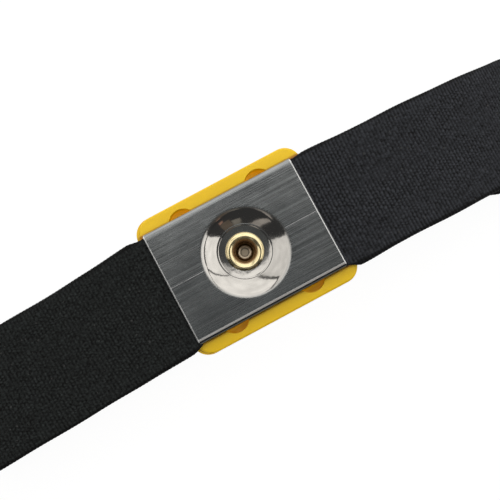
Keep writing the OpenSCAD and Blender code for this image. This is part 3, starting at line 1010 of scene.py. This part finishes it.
@dataclass
class ContactRivet:
    """The semi-tubular brass rivet, rolled over in the dish."""

    shank_r: float = 2.0
    bore_r: float = 1.65
    roll_r: float = 3.1
    section_r: float = 0.58
    bore_depth: float = 3.9
    head_r: float = 2.9
    head_t: float = 0.8
    head_rounds: Pair = (0.2, 0.35)
    foot_round: float = 0.15
    mouth: float = 0.9
    collar: float = 0.2
    bare: float = 0.08
    crest_r: float = 2.55
    crest_off: Pair = (-0.06, -0.17)
    inner_slope: float = 72.0
    dimple_r: float = 0.62
    dimple_up: float = 0.2
    rim_run: float = 0.33
    rim_slope: float = 25.0
    rim_r: float = 0.12

    def button(self, foot: float) -> Array:
        """Profile of the button on the bore's floor: a dimple, then a slope up to a round rim.

        Args:
            foot: Height of the bore's floor.

        Returns:
            Points (r, z) from the axis outwards.
        """
        slope = math.radians(self.rim_slope)
        up = foot + self.dimple_up + self.rim_run * math.tan(slope / 2)
        out = self.dimple_r + self.rim_run + self.rim_r * math.sin(slope)
        centre = (out, up - self.rim_r * math.cos(slope))
        return np.vstack([
            [[0, foot + self.dimple_up]],
            rising_arc(self.dimple_r, foot + self.dimple_up, self.rim_run, 0, self.rim_slope, 6),
            arc(*centre, self.rim_r, 90 + self.rim_slope, 0, 10)[1:],
            [[centre[0] + self.rim_r, foot]],
        ])

    def roll(self, floor: float) -> Array:
        """Profile of the roll: an arc up from the bore to the crest, and a tighter one down outside.

        Args:
            floor: Height of the dish's floor.

        Returns:
            Points (r, z) from the bore outwards.
        """
        crest = floor + self.bare + self.section_r
        run, outer = self.crest_r - self.bore_r, self.roll_r - self.crest_r
        rise = run * math.tan(math.radians(self.inner_slope) / 2)
        under = math.degrees(math.asin((crest - outer - floor) / outer))
        return np.vstack([
            rising_arc(self.bore_r, crest - rise, run, self.inner_slope, 0, 22),
            arc(self.crest_r, crest - outer, outer, 90, -under, 18)[1:],
        ])

    def lean_crest(self, points: Array, floor: float) -> Array:
        """Moves the roll's crest a little off centre, and its edges and foot not at all.

        The share of the move is 1 - d^2, where d is the distance from the crest's circle over the
        roll's half width, times a smooth rise from the dish's floor.

        Args:
            points: The rivet's points.
            floor: Height of the dish's floor.

        Returns:
            The moved points.
        """
        away = (np.hypot(points[:, 0], points[:, 1]) - self.crest_r) / (self.roll_r - self.crest_r)
        share = np.clip(1 - away**2, 0, 1) * smooth((points[:, 2] - floor) / self.section_r)
        return points + share[:, None] * np.array([*self.crest_off, 0.0])

    def build(self) -> bpy.types.Object:
        """One profile from the button in the bore, up the bore, over the roll and down to the head.

        Returns:
            The rivet.
        """
        floor = span("housing", 2)[1] + SkinPlate.sheet
        foot = span("skin_plate", 2)[1] - self.bore_depth
        head_top = span("housing", 2)[0] - SnapStud.sheet
        foot_r, (upper_r, lower_r) = self.foot_round, self.head_rounds
        profile = np.vstack([
            self.button(foot),
            arc(self.bore_r - foot_r, foot + foot_r, foot_r, -90, 0, 4),
            [[self.bore_r, floor - self.mouth]],
            self.roll(floor),
            [[self.shank_r + self.collar, floor - 0.001], [self.shank_r, floor - self.collar]],
            [[self.shank_r, head_top]],
            arc(self.head_r - upper_r, head_top - upper_r, upper_r, 90, 0, 4),
            arc(self.head_r - lower_r, head_top - self.head_t + lower_r, lower_r, 0, -90, 5),
            [[0, head_top - self.head_t]],
        ])
        surface = Surface()
        surface.revolve(profile, 128)
        surface.points = [self.lean_crest(points, floor) for points in surface.points]
        piece = surface.piece("contact_rivet_brass", crisp=50.0)
        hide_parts("contact_rivet")
        Finish.BRASS.dress(piece)
        return piece


@dataclass
class SnapStud:
    """The pressed stud that a ground cord's socket snaps over."""

    bore_r: float = 2.05
    band_top: float = 0.9
    base_r: float = 6.2
    sheet: float = 0.45
    neck_r: float = 4.55
    head_r: float = 5.0
    band_h: float = 1.2
    height: float = 3.6
    inner_r: float = 3.05

    def build(self) -> bpy.types.Object:
        """A closed ring profile: base flange, groove, straight gripping band and rolled lip.

        Returns:
            The stud.
        """
        face = span("housing", 2)[0]
        top = self.height - self.band_top
        corners = [
            (self.bore_r, 0.0, 0.0),
            (self.base_r, 0.0, 0.12),
            (self.base_r, self.sheet, 0.2),
            (self.neck_r, self.sheet, 0.18),
            (self.neck_r, self.sheet + 0.45, 0.12),
            (self.head_r, top - self.band_h, 0.25),
            (self.head_r, self.height, 0.85),
            (self.inner_r, self.height, 0.4),
            (self.inner_r, self.sheet, 0.15),
            (self.bore_r, self.sheet, 0.0),
        ]
        profile = rounded(corners, steps=7) * [1, -1] + [0, face]
        surface = Surface()
        surface.revolve(profile, 128)
        piece = surface.piece("snap_stud_nickel", crisp=50.0)
        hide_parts("snap_stud")
        Finish.NICKEL.dress(piece)
        return piece


@dataclass
class Buckle:
    """The yellow mouldings and the steel pin that hinges them."""

    edge_round: float = 0.12
    pin_r: float = 0.65
    pin_chamfer: float = 0.12

    def build(self) -> list[bpy.types.Object]:
        """Builds the housing, the clamp lid and the hinge pin.

        Returns:
            The three pieces.
        """
        housing = moulded_copy("housing", "housing_moulding")
        lid = moulded_copy("clamp_lid", "clamp_lid_moulding")
        for piece in (housing, lid):
            soften(piece, self.edge_round)
            Finish.PLASTIC.dress(piece)
        return [housing, lid, self.pin()]

    def pin(self) -> bpy.types.Object:
        """The pin: a revolved profile with chamfered ends, laid along Y.

        Returns:
            The pin.
        """
        low, high = span("hinge_pin", 1)
        x, z = sum(span("hinge_pin", 0)) / 2, sum(span("hinge_pin", 2)) / 2
        r, cut = self.pin_r, self.pin_chamfer
        profile = [(0, low), (r - cut, low), (r, low + cut), (r, high - cut), (r - cut, high), (0, high)]
        surface = Surface()
        surface.revolve(np.array(profile), 48)
        surface.points = [points[:, [0, 2, 1]] * [1, 1, -1] + [x, 0, z] for points in surface.points]
        piece = surface.piece("hinge_pin_steel", crisp=30.0)
        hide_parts("hinge_pin")
        Finish.PIN_STEEL.dress(piece)
        return piece


@dataclass
class Webbing:
    """The elastic webbing: one strip from under the plate, round the loop, to the hemmed tail."""

    width: float = 20.1
    thick: float = 1.3
    gripped: float = 18.5
    corner_w: float = 19.6
    bulge: float = 0.24
    tucked: float = 0.2
    loose: float = 0.17
    start_x: float = 9.5
    hole_r: float = 7.55
    left_turn: Pair = (4.2, 1.9)
    right_turn: float = 0.4
    settle: float = 34.0
    shift: float = 0.35
    low_shift: float = -0.95
    left_run: float = 36.6
    right_run: float = 46.0
    right_bend_r: float = 85.0
    bar_turn_x: float = 12.85
    bar_h: float = 2.1
    bar_r: float = 0.5
    gap: float = 0.05
    tail_l: float = 26.0
    hem_l: float = 7.0
    hem_gap: float = 0.01
    rib: float = 0.61
    rib_height: float = 0.065
    rib_swell: float = 0.02
    edge_share: float = 0.92
    slack: Pair = (0.05, 0.04)
    bow: Pair = (0.16, 0.05)
    thinning: float = 0.012
    samples: int = 6
    columns: int = 13
    stitch_rows: Pair = (0.3, 0.75)
    stitch_count: int = 8
    stitch_pitch: float = 2.1
    stitch: tuple[Pair, ...] = ((0, -0.8), (0.12, -0.74), (0.18, -0.6), (0.18, 0.6), (0.12, 0.74), (0, 0.8))
    stitch_lift: float = 0.05
    trace: dict = field(default_factory=dict)

    def __post_init__(self) -> None:
        """Works out the loop's heights, folds and turns from the construction."""
        self.exit_x = span("skin_plate", 0)[1]
        self.bed = span("housing", 2)[1]
        self.level = sum(span("band_fixed_end", 2)) / 2
        self.low = self.thick / 2
        self.left_r = (self.level - self.low) / 2
        self.right_a = math.degrees(math.asin(self.right_run / self.right_bend_r))
        drop = self.right_bend_r * (1 - math.cos(math.radians(self.right_a)))
        self.right_r = (self.level - drop - self.low) / (1 + math.cos(math.radians(self.right_a)))
        self.right_x = self.exit_x + self.right_run - self.right_r * math.sin(math.radians(self.right_a))
        self.tail_z = self.bed - self.bar_h - self.gap - self.thick / 2
        self.tail_x = span("housing", 0)[1]
        self.tail_r = self.right_bend_r - (self.level - self.tail_z)
        self.tail_a = math.degrees(self.tail_l / self.tail_r)
        self.hem_r = self.thick / 2 + self.hem_gap

    def side_view(self) -> Array:
        """The strip's mid-line in its own plane, as points (along, height) close together.

        It is built from straight runs and arcs: out to the left fold, back along the table, round
        the right fold, over the crossbar, down the slot, under the bar and out to the tail's hem.

        Returns:
            The points, from the fixed end to the hem's edge.
        """
        z, low, lr, rr = self.level, self.low, self.left_r, self.right_r
        left_x = -self.exit_x - self.left_run
        up, down = self.bed - self.bar_r, self.bed - self.bar_h + self.bar_r
        over, under = z - up, down - self.tail_z
        tr, ta, hr = self.tail_r, self.tail_a, self.hem_r
        centre = np.array([self.tail_x, self.tail_z - tr])
        end = math.radians(90 - ta)
        hem_c = centre + np.array([math.cos(end), math.sin(end)]) * (tr - hr)
        hem_a = math.degrees(self.hem_l / (tr - 2 * hr))
        runs = [
            np.array([[-self.start_x, z], [left_x + 0.01, z]]),
            arc(left_x, z - lr, lr, 90, 270, 360),
            np.array([[left_x + 0.01, low], [self.right_x - 0.01, low]]),
            arc(self.right_x, low + rr, rr, -90, 90 - self.right_a, 200),
            arc(self.exit_x, z - self.right_bend_r, self.right_bend_r, 90 - self.right_a, 90, 300)[1:],
            arc(self.bar_turn_x, up, over, 90, 180, 40),
            arc(self.bar_turn_x, down, under, 180, 270, 40),
            arc(*centre, tr, 90, 90 - ta, 200),
            arc(*hem_c, hr, 90 - ta, -90 - ta, 24)[1:],
            arc(*centre, tr - 2 * hr, 90 - ta, 90 - ta + hem_a, 60)[1:],
        ]
        return np.vstack(runs)

    def plan(self, along: Array) -> tuple[Array, Array, Array]:
        """The plan of the strip, as the integral of its heading.

        The heading is 0 beside the plate. Left of it the strip turns at the plate's end and then
        settles to a smaller turn, and right of it the turn is even.

        Args:
            along: Lengths from the buckle's middle.

        Returns:
            x, y and the heading in radians at each length.
        """
        grid = np.linspace(-80, 80, 16001)
        near, far = self.left_turn
        turn = far + (near - far) * smooth(1 - (-grid - self.exit_x) / self.settle)
        left = np.radians(turn) * smooth((-grid - self.exit_x + 1.5) / 3.0)
        right = -np.radians(self.right_turn) * smooth((grid - self.exit_x + 1.5) / 3.0)
        heading = left + right
        step = grid[1] - grid[0]
        x = np.cumsum(np.cos(heading)) * step
        y = np.cumsum(np.sin(heading)) * step
        x -= np.interp(0, grid, x)
        y -= np.interp(0, grid, y)
        x, y, heading = (np.interp(along, grid, values) for values in (x, y, heading))
        return x, y - self.shift, heading

    def lay(self) -> None:
        """Traces the strip: its place, its landmarks and its ribs, with rows at equal shares of a rib."""
        line = self.side_view()
        length = np.concatenate([[0], np.cumsum(np.linalg.norm(np.diff(line, axis=0), axis=1))])
        fine = np.linspace(0, length[-1], 40001)
        p, z = (np.interp(fine, length, line[:, k]) for k in (0, 1))
        marks = {"left_exit": self.exit_x - self.start_x}
        low_start = marks["left_exit"] + self.left_run + math.pi * self.left_r
        marks["low_end"] = low_start + self.exit_x + self.left_run + self.right_x
        marks["right_fold"] = marks["low_end"] + self.right_r * math.radians(180 - self.right_a)
        marks["right_exit"] = marks["right_fold"] + self.right_bend_r * math.radians(self.right_a)
        marks["tail"] = length[-1] - self.hem_l - math.pi * self.hem_r - self.tail_l
        marks["end"] = length[-1]
        rows = np.arange(0, math.floor(length[-1] / self.rib * self.samples) + 1) / self.samples
        s = rows * self.rib
        s[-1] = length[-1]
        self.trace = {"s": s, "rib": rows, "marks": marks, "fine": fine, "p": p, "z": z}

    def side_shift(self, s: Array) -> Array:
        """How far the strip lies off the plan's line.

        Args:
            s: Lengths along the strip.

        Returns:
            The shift towards +Y at each.
        """
        m = self.trace["marks"]
        stops = [
            (0.0, self.shift), (m["left_exit"] - 1.6, self.shift), (m["left_exit"] + 0.4, 0.0),
            (m["low_end"] - 15.0, 0.0), (m["low_end"] - 11.5, self.low_shift),
            (m["low_end"] + 3.0, self.low_shift),
            (m["right_fold"] + 7.0, 0.0), (m["right_exit"] - 0.4, 0.0), (m["right_exit"] + 1.4, self.shift),
            (m["tail"] - 0.5, self.shift), (m["tail"] + 2.0, self.shift / 2), (m["end"], self.shift / 2),
        ]
        return self.ease(s, stops)

    def half_width(self, s: Array, side: float) -> Array:
        """Half the strip's width, which is drawn in where the buckle grips it.

        Beside the plate's ends both edges start from its corners, bulge a little where the grip
        ends and settle to the free width. Beside the clamp the +Y edge comes out wide at once, and
        the -Y edge comes out tucked in and then lies loose.

        Args:
            s: Lengths along the strip.
            side: 1 for the +Y edge and -1 for the -Y edge.

        Returns:
            The half width on that side at each.
        """
        m = self.trace["marks"]
        wide, corner, narrow = self.width / 2, self.corner_w / 2, self.gripped / 2
        out, clamped = (wide, wide) if side > 0 else (corner - self.tucked, wide + self.loose)
        stops = [
            (0.0, narrow), (m["left_exit"] - 0.8, narrow), (m["left_exit"], corner),
            (m["left_exit"] + 2.4, wide + self.bulge), (m["left_exit"] + 10.0, wide),
            (m["right_fold"], wide), (m["right_fold"] + 8.0, clamped), (m["right_exit"] - 9.0, clamped),
            (m["right_exit"] - 2.4, clamped + self.bulge), (m["right_exit"] - 0.1, out),
            (m["right_exit"] + 0.9, narrow), (m["tail"] - 0.3, narrow),
            (m["tail"] + 2.6, wide), (m["end"], wide),
        ]
        return self.ease(s, stops)

    @staticmethod
    def ease(s: Array, stops: list[Pair]) -> Array:
        """Values that go smoothly from stop to stop, flat at each.

        Args:
            s: Where values are wanted.
            stops: Places and values, in rising order of place.

        Returns:
            One value for each place.
        """
        places, values = np.array(stops).T
        at = np.clip(np.searchsorted(places, s, side="right") - 1, 0, len(stops) - 2)
        share = (s - places[at]) / (places[at + 1] - places[at])
        return values[at] + (values[at + 1] - values[at]) * smooth(share)

    def section(self) -> tuple[Array, Array, Array]:
        """The strip's section as shares: side, height and how far each point is on an edge.

        The faces are flat, and each edge is a half circle. Side is a share of the half width less
        the edge's radius, and height a share of half the thickness.

        Returns:
            The three shares at each point round the section.
        """
        flat = np.linspace(-1, 1, self.columns)
        level, none = np.ones(self.columns), np.zeros(self.columns)
        bend = np.radians([60, 25, -25, -60])
        side = np.concatenate([flat, np.ones(4), flat[::-1], -np.ones(4)])
        height = np.concatenate([level, np.sin(bend), -level, -np.sin(bend)])
        bulge = np.concatenate([none, np.cos(bend), none, np.cos(bend)])
        return side, height, bulge

    def place(self, s: Array, side: Array, out: Array) -> Array:
        """Points of the strip's surface.

        Args:
            s: Lengths along the strip, shaped (rows, 1) or (rows, columns).
            side: Millimetres across it, towards +Y.
            out: Millimetres out of its mid-plane, towards the loop's outside.

        Returns:
            Points shaped (rows, columns, 3): the mid-line's place, plus side along the level
            direction across it, plus out along the direction square to both.
        """
        t = self.trace
        p, z = (np.interp(s, t["fine"], t[key]) for key in ("p", "z"))
        slopes = [np.gradient(t[key], t["fine"]) for key in ("p", "z")]
        tilt_p, tilt_z = (np.interp(s, t["fine"], slope) for slope in slopes)
        size = np.hypot(tilt_p, tilt_z)
        tilt_p, tilt_z = tilt_p / size, tilt_z / size
        x, y, heading = self.plan(p)
        off = side + self.side_shift(s)
        cos, sin = np.cos(heading), np.sin(heading)
        return np.stack([
            x - off * sin + out * tilt_z * cos,
            y + off * cos + out * tilt_z * sin,
            z - out * tilt_p,
        ], axis=-1)

    def strip(self) -> bpy.types.Object:
        """The ribbed strip: a rounded section carried along the trace.

        Both faces rise and fall by a cosine of the rib's phase, and the edges swell with each rib.
        Slow waves keep it from being ruler straight: slack in its width, a bow in its ribs and a
        thinning of its faces.

        Returns:
            The strip.
        """
        self.lay()
        t = self.trace
        s, rib = t["s"][:, None], t["rib"][:, None]
        side, height, bulge = self.section()
        crest = np.cos(2 * np.pi * rib)
        slack = self.slack[0] * np.sin(s / 5.3) + self.slack[1] * np.sin(s / 2.1 + 1)
        half = np.where(side > 0, self.half_width(s, 1), self.half_width(s, -1)) + slack
        edge = self.thick / 2 * self.edge_share
        across = side * (half - edge) + np.sign(side) * bulge * (edge + self.rib_swell * crest)
        bowed = self.bow[0] * np.cos(across / 6.4) + self.bow[1] * np.sin(across / 2.3 + s / 7)
        ends = smooth(s / 3.0) * smooth((t["marks"]["end"] - s) / 3.0)
        swell = self.rib_height * (crest - 1) * (1 - bulge)
        thin = self.thinning * (1 + np.sin(s / 3.7 + across / 5.0))
        out = height * (self.thick / 2 - thin + swell)
        points = self.place(s + bowed * ends, across, out)
        uv = np.stack([rib + 0 * across, across + 0 * rib], axis=-1)
        surface = Surface()
        numbers = surface.patch(points, wrap_columns=True, uv=uv)
        surface.cap(numbers[0], points[0].mean(axis=0))
        surface.cap(numbers[-1], points[-1].mean(axis=0))
        piece = surface.piece("webbing_strip", crisp=70.0, weld=0.0005)
        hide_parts("band_upper_left", "band_left_fold", "band_lower", "band_right_fold",
                    "band_upper_right", "band_clamped_end", "band_tail")
        Finish.WEBBING.dress(piece)
        length = t["marks"]["end"]
        length * MM
        log.info("webbing strip: %.1f mm long", length)
        return piece

    def fixed_end(self) -> bpy.types.Object:
        """The strip's fixed end under the plate: a flat patch with a hole that the dish plugs.

        Rings spread from the hole's circle to the patch's outline, on both faces.

        Returns:
            The patch.
        """
        x = stations([-self.start_x, 0.0, self.start_x], 0.6)
        y = stations([-self.gripped / 2, 0.0, self.gripped / 2], 0.6)
        edge = outline(x, y)
        hole = self.hole_r * edge / np.linalg.norm(edge, axis=1, keepdims=True)
        t = np.linspace(0, 1, 6)[:, None, None]
        rings = (1 - t) * hole + t * edge
        loop = np.vstack([rings, rings[::-1]])
        face = self.thick / 2 - 0.02
        z = np.repeat([self.level + face, self.level - face], len(rings))
        z = np.repeat(z[:, None], len(edge), axis=1)
        grid = np.concatenate([loop, z[..., None]], axis=-1)
        uv = np.stack([loop[..., 0] / self.rib, loop[..., 1]], axis=-1)
        surface = Surface()
        surface.patch(grid, wrap_rows=True, wrap_columns=True, uv=uv)
        piece = surface.piece("webbing_fixed_end")
        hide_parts("band_fixed_end")
        Finish.WEBBING.dress(piece)
        return piece

    def stitches(self) -> bpy.types.Object:
        """Two rows of thread across the hem, each stitch a small round-ended rod on the webbing.

        Returns:
            All the stitches, as one piece.
        """
        end = self.trace["marks"]["end"]
        lie = self.thick / 2 + self.stitch_lift
        surface = Surface()
        for share in self.stitch_rows:
            folded_back = end - self.hem_l * (1 - share)
            beneath = end - self.hem_l * (1 + share) - math.pi * self.hem_r
            for s in (folded_back, beneath):
                for i in range(self.stitch_count):
                    off = (i - (self.stitch_count - 1) / 2) * self.stitch_pitch
                    before = len(surface.points)
                    surface.revolve(np.array(self.stitch), 8)
                    for k in range(before, len(surface.points)):
                        x, y, z = surface.points[k].T
                        surface.points[k] = self.place(s + x, z + off, lie + y)
        piece = surface.piece("hem_thread")
        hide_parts("hem_stitches")
        Finish.THREAD.dress(piece)
        return piece

    def build(self) -> list[bpy.types.Object]:
        """Builds the strip, its fixed end and the hem's stitches."""
        return [self.strip(), self.fixed_end(), self.stitches()]


# ---------------------------------------------------------------- studio


@dataclass
class LightSheet:
    """A softly clouded sheet of light, a dim card or a dark board on a sphere round the strap.

    The camera doesn't see it, and the strap's metal does. Each row gives a lean off the vertical,
    and the bearings where the sheet starts and stops there. Bearings turn from +X towards +Y, and
    the sheet's edges run straight from row to row.
    """

    name: str
    rows: tuple[Triple, ...]
    radiance: float = 1.3
    colour: Colour = (1.0, 0.975, 0.935)
    distance: float = 0.6
    steps: int = 24
    clouds: Pair = (0.7, 0.6)
    cloud_scale: float = 0.008

    def build(self, centre: Vector) -> None:
        """Hangs the sheet: x = r sin(lean) cos(bearing), y = r sin(lean) sin(bearing), z = r cos(lean).

        Args:
            centre: The middle of the sphere.
        """
        leans = stations([row[0] for row in self.rows], 4.0)
        start, stop = (np.interp(leans, *np.array(self.rows)[:, [0, k]].T) for k in (1, 2))
        across = np.linspace(0, 1, self.steps + 1)
        bearing = np.radians(start[:, None] * (1 - across) + stop[:, None] * across)
        lean = np.radians(leans)[:, None]
        flat, high = np.sin(lean), np.cos(lean) + 0 * bearing
        grid = np.stack([flat * np.cos(bearing), flat * np.sin(bearing), high], axis=-1)
        surface = Surface()
        surface.patch(grid * self.distance / MM + np.array(centre) / MM)
        made = surface.piece(self.name)
        material, s = new_shader(self.name)
        least, swing = self.clouds
        cloud = least + swing * s.noise(s.place(), scale=self.cloud_scale, detail=1.0)
        inputs = {"Color": s.times(self.colour, cloud), "Strength": self.radiance}
        s.show(s.node("ShaderNodeEmission", inputs))
        made.data.materials.append(material)
        made.visible_camera = False
        made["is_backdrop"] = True


@dataclass
class Studio:
    """The pale floor, the soft lights and the camera."""

    picture_turn: float = 28.2
    camera_lean: float = 4.0
    camera_distance: float = 0.15
    view_width: float = 0.0794
    aim: Pair = (0.00083, 0.00011)
    ambient: float = 0.045
    backdrop: Pair = (0.22, 0.08)
    floor_reach: float = 2.0
    floor_grey: Colour = (0.8, 0.8, 0.8)
    floor_glow: float = 1.08
    floor_share: float = 0.88
    sheets: tuple[LightSheet, ...] = (
        LightSheet("sheet_right", ((24.0, -49.0, 34.0), (63.0, -47.0, 0.0))),
        LightSheet("sheet_left", ((23.0, 90.0, 167.0), (62.0, 114.0, 170.0)), 1.0),
        LightSheet("sheet_back", ((23.5, 38.0, 84.0), (64.0, 4.0, 110.0), (88.0, -5.0, 170.0))),
        LightSheet("sheet_top", ((13.5, 38.0, 145.0), (16.5, 36.0, 152.0), (23.0, 36.0, 160.0))),
        LightSheet("sheet_low", ((14.0, 24.0, 38.0), (16.5, 8.0, 36.0), (23.0, -22.0, 36.0)), 0.7),
        LightSheet("ceiling", ((0.5, 0.0, 360.0), (14.0, 0.0, 360.0)), 0.09, (0.95, 1.0, 1.0)),
        LightSheet("card_low", ((0.5, 190.0, 340.0), (4.2, 200.0, 325.0)), 0.7, (0.95, 1.0, 1.0), 0.58),
        LightSheet("card_pale", ((15.0, 249.0, 266.0), (40.0, 252.0, 268.0)), 0.22, (1.0, 0.93, 0.80)),
        LightSheet("card_brown", ((13.0, 266.5, 292.0), (48.0, 270.5, 290.0)), 0.14, (1.0, 0.80, 0.62)),
        LightSheet(
            "card_bright", ((16.0, 204.0, 232.0), (36.0, 204.0, 220.0), (56.0, 198.0, 206.0)),
            0.42, (1.0, 0.92, 0.84),
        ),
        LightSheet("card_warm", ((50.0, 281.0, 289.0), (58.0, 281.0, 289.0)), 0.35, (1.0, 0.60, 0.45)),
        LightSheet("dark_board", ((64.0, 185.0, 300.0), (88.0, 185.0, 300.0)), 0.03),
    )
    key_lean: float = 2.0
    key_side: float = 0.7
    key_distance: float = 0.5
    key_radiance: float = 0.68

    def __post_init__(self) -> None:
        """Works out the picture's right and up directions on the table."""
        turn = math.radians(self.picture_turn)
        self.right = Vector((math.cos(turn), -math.sin(turn), 0))
        self.up = Vector((math.sin(turn), math.cos(turn), 0))
        self.target = self.right * self.aim[0] + self.up * self.aim[1]
        self.target.z = span("skin_plate", 2)[1] * MM

    def camera(self) -> None:
        """Looks down at the plate, with the strap's length turned in the picture."""
        lean = math.radians(self.camera_lean)
        back = Vector((0, 0, 1)) * math.cos(lean) - self.up * math.sin(lean)
        up = self.up * math.cos(lean) + Vector((0, 0, 1)) * math.sin(lean)
        data = bpy.data.cameras.new("camera")
        data.sensor_width = 36.0
        data.lens = data.sensor_width * self.camera_distance / self.view_width
        data.clip_start = 0.01
        data.clip_end = 10.0
        made = placed("camera", data)
        made.matrix_world = facing(self.target + back * self.camera_distance, self.right, up, back)
        bpy.context.scene.camera = made

    def key(self) -> None:
        """A wide soft lamp that lights the strap from above without showing in its metal."""
        lean = math.radians(self.key_lean)
        out = Vector((0, math.sin(lean), math.cos(lean)))
        side = Vector((1, 0, 0))
        data = bpy.data.lights.new("key", "AREA")
        data.size = self.key_side
        data.energy = self.key_radiance * math.pi * self.key_side**2
        made = placed("key", data)
        made.visible_glossy = False
        made.matrix_world = facing(self.target + out * self.key_distance, side, out.cross(side), out)

    def world(self) -> None:
        """A dim room with a dark ceiling. The camera sees it as white, and gloss its low backdrop."""
        world = bpy.data.worlds.new("studio")
        bpy.context.scene.world = world
        world.use_nodes = True
        s = Shader(world.node_tree)
        seen, bounced = s.rays()
        _, _, height = s.parts(s.node("ShaderNodeTexCoord", output="Generated"))
        backdrop = height.step(*self.backdrop) * bounced
        room = s.node("ShaderNodeBackground", {"Color": WHITE, "Strength": self.ambient})
        white = s.node("ShaderNodeBackground", {"Color": WHITE, "Strength": 1.0})
        mixed = s.node("ShaderNodeMixShader", {0: seen + backdrop, 1: room, 2: white})
        s.node("ShaderNodeOutputWorld", {"Surface": mixed})

    def floor(self) -> None:
        """A white table top that keeps a faint shadow, and that the camera sees through from below."""
        mesh = bpy.data.meshes.new("floor")
        reach = self.floor_reach
        corners = [(-reach, -reach, 0), (reach, -reach, 0), (reach, reach, 0), (-reach, reach, 0)]
        mesh.from_pydata(corners, [], [(0, 1, 2, 3)])
        material, s = new_shader("pale_floor")
        seen, bounced = s.rays()
        beneath = s.node("ShaderNodeNewGeometry", output="Backfacing")
        matt = s.node("ShaderNodeBsdfDiffuse", {"Color": self.floor_grey})
        white = s.node("ShaderNodeEmission", {"Color": WHITE, "Strength": self.floor_glow})
        clear = s.node("ShaderNodeBsdfTransparent")
        top = s.node("ShaderNodeMixShader", {0: self.floor_share * (seen + bounced), 1: matt, 2: white})
        s.show(s.node("ShaderNodeMixShader", {0: beneath * seen, 1: top, 2: clear}))
        mesh.materials.append(material)
        placed("floor", mesh)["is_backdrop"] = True

    def build(self) -> None:
        """Sets up the camera, the lights, the room and the floor."""
        self.camera()
        self.key()
        for sheet in self.sheets:
            sheet.build(self.target)
        self.world()
        self.floor()
        bpy.context.scene.view_settings.view_transform = "Standard"


def main() -> None:
    """Builds every sub-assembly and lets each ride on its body."""
    logging.basicConfig(level=logging.INFO, format="%(name)s: %(message)s")
    Studio().build()
    pieces = [SkinPlate().build(), ContactRivet().build(), SnapStud().build()]
    pieces += Buckle().build()
    pieces += Webbing().build()
    for piece in pieces:
        body = "lid" if piece.name.startswith("clamp_lid") else "strap"
        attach(piece, body)
        log.info("%s rides on %s: %d faces", piece.name, body, len(piece.data.polygons))
    corners = [[list(corner) for corner in box] for box in (CAD_BOX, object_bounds())]


if __name__ == "__main__":
    main()
